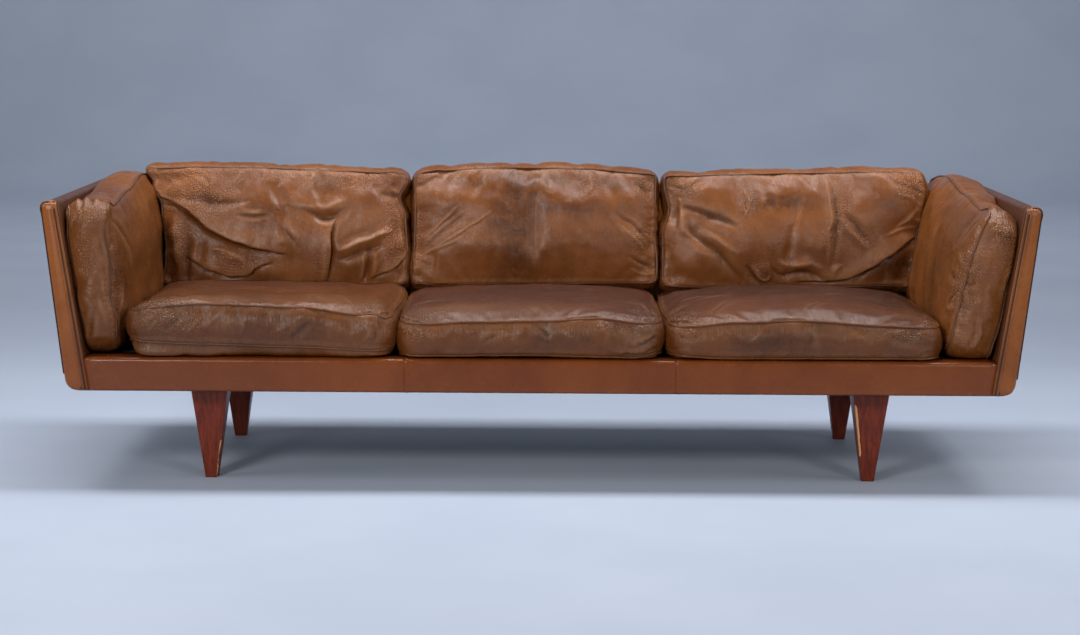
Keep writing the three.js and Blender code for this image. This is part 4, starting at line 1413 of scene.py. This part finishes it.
def make_arm_cushions():
    for number, (side, s) in enumerate((("left", -1), ("right", 1))):
        place = ARM_PAD_FACE[side]
        node = f"arm_cushion_{side}"
        rise = np.array([s * (place["head"] - place["foot"]), 0, ARM_PAD_Z[1] - ARM_PAD_Z[0]], float)
        height = np.linalg.norm(rise)
        up = rise / height
        along = np.array([0, -s, 0], float)
        out = np.cross(along, up)
        across = s * (place["head"] + place["foot"]) / 2
        middle = np.array([across, sum(ARM_PAD_Y) / 2, sum(ARM_PAD_Z) / 2])
        half = [(ARM_PAD_Y[1] - ARM_PAD_Y[0]) / 2, height / 2, ARM_PAD_BAND / 2]
        cushion = Cushion(
            node, middle - out * ARM_PAD_BAND / 2, [along, up, out], half, ARM_CELL, *arm_pad_panels(s),
            band={"side": 14, "foot": 16, "head": 12}, radius=36,
        )
        lean = np.array([s, 0, ARM_LEAN]) / math.hypot(1, ARM_LEAN)
        against_arm = (lean, lean @ [s * ARM_LOW_IN[0], 0, ARM_LOW_IN[1]] - 1)
        on_deck = ((0, 0, -1), -(DECK + 0.6))
        front = "start" if s < 0 else "end"
        # Creases, shine, and stains with painted shade, for this side.
        worn = ARM_PAD_DETAIL[side] | {"edge": [(3, 50, 6, 30, 0.8)]}
        if s > 0:
            worn |= {key: turned(worn[key]) for key in ("face", "head", "stain_and_shade", "edge")}
        finish_cushion(
            cushion, ARM_CUSHION, 1, (91 + number, 9, 16, 1.6), (111 + number, 1.8, 120),
            {front: [(50, 75, 30, 20, 5), (50, 30, 30, 20, 4)]},
            {"face": worn["face"], front: worn["front"], "head": worn["head"]},
            {
                front: {"shine": worn["shine"], "rubbed": [(50, 97, 40, 5, 0.6)]},
                "face": {"stain_and_shade": worn["stain_and_shade"], "shine": worn["edge"]},
            },
            [on_deck, against_arm],
        )


# ---- the frame's leather ------------------------------------------------------------------

SPLAY = 49  # how far the arms and the back lean out from foot to top
TOP_THICKNESS = 35
FOOT_THICKNESS = 51
RISE = ARM_TOP - BASE_BOTTOM
ARM_OUTSIDE = ARM_HIGH[0] + 2.0  # the leather's outer face at the arm's top
CORNER_STEPS = 7
ARM_ROUND = 10.0  # the round of the arm's front edge
BACK_SEAMS = (-340, 340)  # the upright seams outside the back
SLAB_CORNERS = {"foot_in": 4, "foot_out": 28, "top_out": 14, "top_in": 8}
SLAB_STEPS = (2, 18)  # points along a slab's narrow ends and along its broad sides


def lean_in(z):
    """How far in an outer face has leaned at height z, from where it stands at its top."""
    return SPLAY * (ARM_TOP - z) / RISE


def thickness(z):
    """How thick an arm or the back is at height z."""
    return FOOT_THICKNESS - (FOOT_THICKNESS - TOP_THICKNESS) * (z - BASE_BOTTOM) / RISE


def between_arms(z):
    """Half the width between the arms' inner faces at height z."""
    return ARM_OUTSIDE - lean_in(z) - thickness(z)


def back_plane(z):
    """The y of the back's outer face at height z."""
    return REAR - lean_in(z)


def slab_ring(outer_top, inset=0.0):
    """The section of an arm or the back, as (outwards, up) points, taken in by inset."""
    low = BASE_BOTTOM + inset
    high = ARM_TOP - inset
    corners = [
        ((outer_top - lean_in(low) - thickness(low) + inset, low), SLAB_CORNERS["foot_in"]),
        ((outer_top - lean_in(low) - inset, low), SLAB_CORNERS["foot_out"]),
        ((outer_top - lean_in(high) - inset, high), SLAB_CORNERS["top_out"]),
        ((outer_top - lean_in(high) - thickness(high) + inset, high), SLAB_CORNERS["top_in"]),
    ]
    tips, starts, ends = [np.array(corner) for corner, _ in corners], [], []
    for i, (_, radius) in enumerate(corners):
        reach = max(radius - inset, 1.0)
        for neighbour, tangents in ((tips[i - 1], starts), (tips[(i + 1) % 4], ends)):
            gap = neighbour - tips[i]
            tangents.append(tips[i] + gap / np.linalg.norm(gap) * reach)
    ring = []
    for i, here in enumerate(tips):
        for t in np.linspace(0, 1, CORNER_STEPS + 1):
            ring.append((1 - t) ** 2 * starts[i] + 2 * t * (1 - t) * here + t * t * ends[i])
        count = SLAB_STEPS[i % 2]
        for k in range(1, count):
            ring.append(ends[i] + (starts[(i + 1) % 4] - ends[i]) * k / count)
    return np.array(ring)


def loft(rings):
    """Points and faces through a list of equal rings, with both ends closed."""
    n = len(rings[0])
    points = np.vstack(rings)
    faces = []
    for r in range(len(rings) - 1):
        for i in range(n):
            j = (i + 1) % n
            faces.append((r * n + i, r * n + j, (r + 1) * n + j, (r + 1) * n + i))
    faces.append(tuple(range(n - 1, -1, -1)))
    faces.append(tuple((len(rings) - 1) * n + i for i in range(n)))
    return points, faces


def arm_piping(s, lines, radius):
    """Slim lines round the arm's front edge: up its inner edge, over the top and down outside.

    A line is (how far inside the arm's inner edge, how far behind its front, and how far
    behind it on the way up).
    """
    low_z = BASE_BOTTOM + 4
    top_in = ARM_OUTSIDE - TOP_THICKNESS
    parts = []
    for edge, back, sunk in lines:
        path = [(between_arms(z) + edge, FRONT + sunk, z) for z in np.linspace(low_z, ARM_TOP - 14, 26)]
        path += [
            (top_in + edge, FRONT + 3.2 + back * 0.15, ARM_TOP - 5),
            (top_in + edge + 0.5, FRONT + 4 + back * 0.6, ARM_TOP - 0.5),
            (top_in + edge + 4.0, FRONT + back, ARM_TOP + 0.3),
            (ARM_OUTSIDE - 14, FRONT + back, ARM_TOP + 0.2),
            (ARM_OUTSIDE - 4.5, FRONT + back, ARM_TOP - 3.2),
            (ARM_OUTSIDE - 0.4, FRONT + back, ARM_TOP - 14),
        ]
        for z in np.linspace(ARM_TOP - 30, low_z + 34, 18):
            path.append((ARM_OUTSIDE - lean_in(z) + 0.2, FRONT + back, z))
        path = np.array(path) * (s, 1, 1)
        parts.append(tube(curve_through(path, 5 * len(path)), radius))
    return joined(parts)


def arm_rings(s):
    """Sections from the arm's rounded front edge to its rear end, which follows the back's slope."""
    steps = [(-2.6, 16.0), (-2.2, 13.0)]
    for d in (0, 0.6, 2.0, 4.0, 7.0, 10.0):
        puffed = d - 1.4 * (1 - d / ARM_ROUND)
        steps.append((puffed, ARM_ROUND - math.sqrt(d * (2 * ARM_ROUND - d))))
    rings = []
    for d, inset in steps:
        ring = slab_ring(ARM_OUTSIDE, inset)
        rings.append(np.stack([s * ring[:, 0], np.full(len(ring), FRONT + d), ring[:, 1]], 1))
    full = slab_ring(ARM_OUTSIDE)
    inner_half = full[:, 0] < full[:, 0].mean()
    start = FRONT + ARM_ROUND
    for share in np.linspace(0, 1, 40)[1:]:
        y = start + (back_plane(full[:, 1]) - start) * share
        puff = 0.8 * math.sin(math.pi * share) ** 0.5
        rings.append(np.stack([s * (full[:, 0] - puff * inner_half), y, full[:, 1]], 1))
    return rings


def make_arm_slabs():
    for side, s in (("left", -1), ("right", 1)):
        points, faces = loft(arm_rings(s))
        if s > 0:
            faces = [tuple(reversed(face)) for face in faces]
        piece = new_piece(f"arm_leather_{side}", points, faces, ARM_LEATHER, "frame_leather")
        # Painted shade on the arm's inner face above the deck, and painted shade and sky reflection on
        # its top.
        behind = smooth((points[:, 1] - FRONT - 8) / 6)
        above_deck = smooth((points[:, 2] - DECK + 10) / 20)
        middle = ARM_OUTSIDE - 24 - lean_in(points[:, 2])
        within = smooth((middle + 12 - s * points[:, 0]) / 14)
        on_top = smooth((points[:, 2] - ARM_TOP + 14) / 8)
        set_attribute(piece, "shade_and_reflection", behind * np.maximum(above_deck * within, on_top))
        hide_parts(f"arm_cover_{side}", f"arm_padding_{side}")
        # The seam tubes are near-black: painted shadow in the grooves along the piping.
        for name, lines, radius, finish in (
            ("piping", ((11.0, 11.0, -0.6), (3.0, 20.0, 2.4)), 3.0, ARM_WELT),
            ("seam", ((15.4, 6.6, 0.0), (7.0, 15.5, 0.4), (0.2, 24.5, 4.4)), 1.7, SEAM_SHADOW),
        ):
            new_piece(f"arm_{name}_{side}", *arm_piping(s, lines, radius), finish, "frame_leather")


def make_back_slab():
    full = slab_ring(REAR)
    z = full[:, 1]
    half = between_arms(z) - 0.3
    rings = [np.stack([share * half, full[:, 0], z], 1) for share in np.linspace(-1, 1, 81)]
    piece = new_piece("back_leather", *loft(rings), ARM_LEATHER, "frame_leather")
    height = np.concatenate([z] * len(rings))
    # Painted shade and sky reflection along the back's top.
    set_attribute(piece, "shade_and_reflection", 0.5 * smooth((height - ARM_TOP + 14) / 8))
    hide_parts("back_cover", "back_padding")


def outside_heights(low, high):
    """Heights up the back's outer face, from low above its foot to high below its top."""
    return np.linspace(BASE_BOTTOM + low, ARM_TOP - high, 24)


def outside_line(x, z, sink, radius):
    """A tube up the back's outer face, with its middle sunk into it."""
    return tube(curve_through(np.stack([x, back_plane(z) - sink, z], 1), 80), radius)


def make_outside_seams():
    """Welts where the back meets the arms, and upright seams that join the back's three widths:
    near-black tubes, a painted shadow in each seam's groove.
    """
    welts, seams = [], []
    z = outside_heights(26, 12)
    for s in (-1, 1):
        welts.append(outside_line(s * (ARM_OUTSIDE - lean_in(z) + 0.4), z, 9, 3.0))
    z = outside_heights(30, 16)
    for x in BACK_SEAMS:
        for off, parts, radius in ((-3.4, welts, 2.4), (0.0, seams, 1.6), (3.4, welts, 2.4)):
            parts.append(outside_line(np.full(len(z), x + off), z, 0.4, radius))
    for name, parts, finish in (("welts", welts, ARM_WELT), ("seams", seams, SEAM_SHADOW)):
        new_piece(f"outside_{name}", *joined(parts), finish, "frame_leather")


RAIL_SEAMS = (-301, 300)
RAIL_SEAM_STEPS = (-9, -6, -4, -2.6, -1.6, -0.8, 0, 0.8, 1.6, 2.6, 4, 6, 9)  # sections round a seam
RAIL_ROUND_TOP = 9.0
RAIL_ROUND_FOOT = 7.0


def make_rail():
    """The leather on the front rail, between the arms: rounded over its top, seamed twice."""
    front, deep = RAIL_LOW[1], RAIL_HIGH[1]
    foot, top = RAIL_LOW[2], RAIL_HIGH[2]
    profile = [(deep, top), (front + 45, top + 0.6), (front + 22, top + 0.4)]
    for angle in np.linspace(0, math.pi / 2, 9):
        y = front + RAIL_ROUND_TOP * (1 - math.sin(angle))
        profile.append((y, top - RAIL_ROUND_TOP * (1 - math.cos(angle))))
    for z in np.linspace(top - RAIL_ROUND_TOP, foot + RAIL_ROUND_FOOT, 7)[1:]:
        profile.append((front, z))
    for angle in np.linspace(0, math.pi / 2, 7)[1:]:
        y = front + RAIL_ROUND_FOOT * (1 - math.cos(angle))
        profile.append((y, foot + RAIL_ROUND_FOOT * (1 - math.sin(angle))))
    inside = [(front + 36, foot + 2), (front + 8, foot + 2), (front + 2, foot + 12)]
    inside += [(front + 2, top - 12), (front + 12, top - 2), (deep, top - 2)]
    profile = np.array([*profile, (front + 36, foot), *inside])
    half = between_arms(profile[:, 1])
    shares = set(np.linspace(-1, 1, 121).round(5))
    for seam in RAIL_SEAMS:
        shares |= {round((seam + step) / half.mean(), 5) for step in RAIL_SEAM_STEPS}
    skin = (profile[:, 0] < front + 22) & (profile[:, 1] > foot - 0.1)
    skin[-len(inside):] = False
    inward = np.array([front + 20, (foot + top) / 2]) - profile
    inward /= np.linalg.norm(inward, axis=1)[:, None]
    rings = []
    for share in sorted(shares):
        x = share * (half - 0.4)
        groove = sum(2.8 * bell(x - seam, 1.5) - 0.9 * bell(x - seam - 5, 3.5) for seam in RAIL_SEAMS)
        slack = 0.8 * np.sin(x / 61.0) * np.sin(profile[:, 1] / 23.0) + 0.6 * np.sin(x / 23.0 + 1.3)
        moved = profile + inward * ((groove + 0.35 * slack) * skin)[:, None]
        rings.append(np.stack([x, moved[:, 0], moved[:, 1]], 1))
    piece = new_piece("front_rail_leather", *loft(rings), RAIL_LEATHER, "frame_leather")
    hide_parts("front_rail_cover")


# ---- the legs -----------------------------------------------------------------------------

CHIPS = {  # which upright edge of a leg is chipped, between which shares of its height, how deep
    "front_left": {"corner": (1, -1), "from": 0.0, "to": 0.46, "depth": 3.4},
    "front_right": {"corner": (-1, -1), "from": 0.25, "to": 0.95, "depth": 1.8},
    "rear_left": {"corner": (1, 1), "from": 0.0, "to": 0.12, "depth": 1.6},
    "rear_right": {"corner": (-1, 1), "from": 0.02, "to": 0.1, "depth": 1.4},
}
LEG_CORNERS = ((1, -1), (1, 1), (-1, 1), (-1, -1))
LEG_FOOT_HALF = 14.0
LEG_EDGE = 1.8  # the round of a leg's upright edges
LEG_ROWS = 60
LEG_STEPS = 14  # points across each side


def edge_round(half, corner):
    """Points round one upright edge of a leg, where the leg is half that wide."""
    angle = math.atan2(corner[1], corner[0]) + np.linspace(-math.pi / 4, math.pi / 4, 5)
    around = LEG_EDGE * np.stack([np.cos(angle), np.sin(angle)], 1)
    return (half - LEG_EDGE) * np.array(corner) + around


def bite_depth(chips, share, ragged):
    """How deep the chipped edge is bitten at a share of the leg's height."""
    if not chips["from"] <= share <= chips["to"]:
        return 0.0
    inside = (share - chips["from"]) / (chips["to"] - chips["from"])
    if chips["from"]:
        fade = smooth(inside / 0.1) * smooth((1 - inside) / 0.3)
    else:
        fade = smooth((1 - inside) / 0.4)
    return chips["depth"] * fade * (0.35 + ragged)


def make_legs():
    rng = np.random.default_rng(5)
    for place, chips in CHIPS.items():
        node = f"leg_{place}"
        low, high = cad_box(node)
        centre = (low + high) / 2
        top_half = (high[0] - low[0]) / 2
        ragged = np.convolve(rng.uniform(0, 1, LEG_ROWS + 1), [0.25, 0.5, 0.25], "same")
        rings, chipped = [], []
        for row in range(LEG_ROWS + 1):
            share = row / LEG_ROWS
            half = LEG_FOOT_HALF + (top_half - LEG_FOOT_HALF) * share
            ring = []
            for i, corner in enumerate(LEG_CORNERS):
                bite = bite_depth(chips, share, ragged[row]) if corner == chips["corner"] else 0.0
                edge = edge_round(half, corner) - bite * np.array(corner)
                across = edge_round(half, LEG_CORNERS[(i + 1) % 4])[0] - edge[-1]
                ring += [*edge, *(edge[-1] + across * k / LEG_STEPS for k in range(1, LEG_STEPS))]
                chipped += [min(1.0, bite / 1.2)] * len(edge) + [0.0] * (LEG_STEPS - 1)
            height = np.full(len(ring), high[2] * share)
            rings.append(np.column_stack([centre[:2] + np.array(ring), height]))
        piece = new_piece(node.replace("leg", "leg_wood"), *loft(rings), LEG_WOOD, "leg_wood")
        set_attribute(piece, "chip", chipped)
        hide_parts(node)


# ---- floor, light and camera --------------------------------------------------------------

CAMERA_AT = (-0.0045, -5.638, 1.072)
CAMERA_YAW = -0.0005
CAMERA_PITCH = -0.1302
CAMERA_ROLL = 0.0066
FOCAL_SHARE = 2404.2 / 1080  # the focal length as a share of the picture's width
SENSOR = 36.0
STAGE_HALF = 16.0  # metres, as everything on the stage
STAGE_FOOT = 7.5
STAGE_BEND = 2.5
LIGHTS = {  # place, aim, size, power, colour
    "overhead": ((0.0, 0.12, 2.7), (0, 0.12, 0), (4.4, 0.6), 96, (0.98, 0.98, 1.0)),
    "front_left": ((-1.9, -4.0, 2.2), (-0.1, 0, 0.42), (1.0, 0.7), 62, (1.0, 0.96, 0.92)),
    "low_left": ((-2.1, -4.4, 1.15), (-0.5, 0, 0.4), (0.45, 0.5), 20, (1.0, 0.97, 0.94)),
    "low_right": ((2.3, -4.4, 1.15), (0.6, 0, 0.4), (0.35, 0.5), 14, (1.0, 0.97, 0.94)),
    "front_right": ((2.2, -4.0, 2.2), (0.1, 0, 0.42), (0.8, 0.7), 28, (1.0, 0.96, 0.92)),
    "backdrop": ((0.0, 4.2, 4.6), (0, 8.6, 0.6), (7.0, 1.2), 150, (0.95, 0.97, 1.0)),
    "left": ((-3.2, -1.2, 1.6), (0, 0, 0.45), (0.6, 1.4), 20, (0.96, 0.98, 1.0)),
    "right": ((3.2, -1.2, 1.6), (0, 0, 0.45), (0.6, 1.4), 20, (1.0, 0.98, 0.95)),
}
WORLD_COLOR = (0.68, 0.70, 0.74, 1)
WORLD_STRENGTH = 0.20


def make_stage():
    """A pale floor that turns up into the wall in one wide round."""
    m = Nodes("studio_floor")
    mottle = m.noise(1.5, 3.0)
    color = m.mix(m.ramp(mottle, 0.3, 0.7), (0.455, 0.520, 0.640), (0.490, 0.555, 0.675))
    m.finish(color, 0.6)
    profile = [(-12.0, 0.0), (-6.0, 0.0), (0.0, 0.0), (STAGE_FOOT, 0.0)]
    for angle in np.linspace(0, math.pi / 2, 17)[1:]:
        profile.append((STAGE_FOOT + STAGE_BEND * math.sin(angle), STAGE_BEND * (1 - math.cos(angle))))
    profile.append((STAGE_FOOT + STAGE_BEND, 12.0))
    points, faces = [], []
    for y, z in profile:
        points += [(x / MM, y / MM, z / MM) for x in (-STAGE_HALF, STAGE_HALF)]
    for k in range(len(profile) - 1):
        faces.append((2 * k, 2 * k + 1, 2 * k + 3, 2 * k + 2))
    floor = new_piece("studio_floor", points, faces, m.material, None)
    floor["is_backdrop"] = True


def make_lights():
    for name, (place, aim, size, power, color) in LIGHTS.items():
        data = bpy.data.lights.new(name, "AREA")
        data.shape = "RECTANGLE"
        data.size, data.size_y = size
        data.energy = power
        data.color = color
        lamp = bpy.data.objects.new(name, data)
        lamp.location = place
        lamp.rotation_euler = (Vector(aim) - Vector(place)).to_track_quat("-Z", "Y").to_euler()
        bpy.context.scene.collection.objects.link(lamp)
    world = bpy.data.worlds.new("studio")
    world.use_nodes = True
    background = world.node_tree.nodes["Background"]
    background.inputs["Color"].default_value = WORLD_COLOR
    background.inputs["Strength"].default_value = WORLD_STRENGTH
    bpy.context.scene.world = world
    bpy.context.scene.view_settings.view_transform = "Standard"


def make_camera():
    data = bpy.data.cameras.new("camera")
    data.sensor_width = SENSOR
    data.lens = SENSOR * FOCAL_SHARE
    camera = bpy.data.objects.new("camera", data)
    cos_p, sin_p = math.cos(CAMERA_PITCH), math.sin(CAMERA_PITCH)
    ahead = Vector((-math.sin(CAMERA_YAW) * cos_p, math.cos(CAMERA_YAW) * cos_p, sin_p))
    right = Vector((math.cos(CAMERA_YAW), math.sin(CAMERA_YAW), 0))
    up = right.cross(ahead)
    cos_r, sin_r = math.cos(CAMERA_ROLL), math.sin(CAMERA_ROLL)
    across = right * cos_r + up * sin_r
    upward = up * cos_r - right * sin_r
    basis = Matrix((across, upward, -ahead)).transposed().to_4x4()
    camera.matrix_world = Matrix.Translation(CAMERA_AT) @ basis
    bpy.context.scene.collection.objects.link(camera)
    bpy.context.scene.camera = camera


make_camera()
make_lights()
make_stage()
dress_frame()
make_legs()
make_rail()
make_arm_slabs()
make_back_slab()
make_outside_seams()
make_seats()
make_backs()
make_arm_cushions()

boxes = {"cad": CAD_BOX, "visual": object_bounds()}
{key: [list(map(float, corner)) for corner in box] for key, box in boxes.items()}
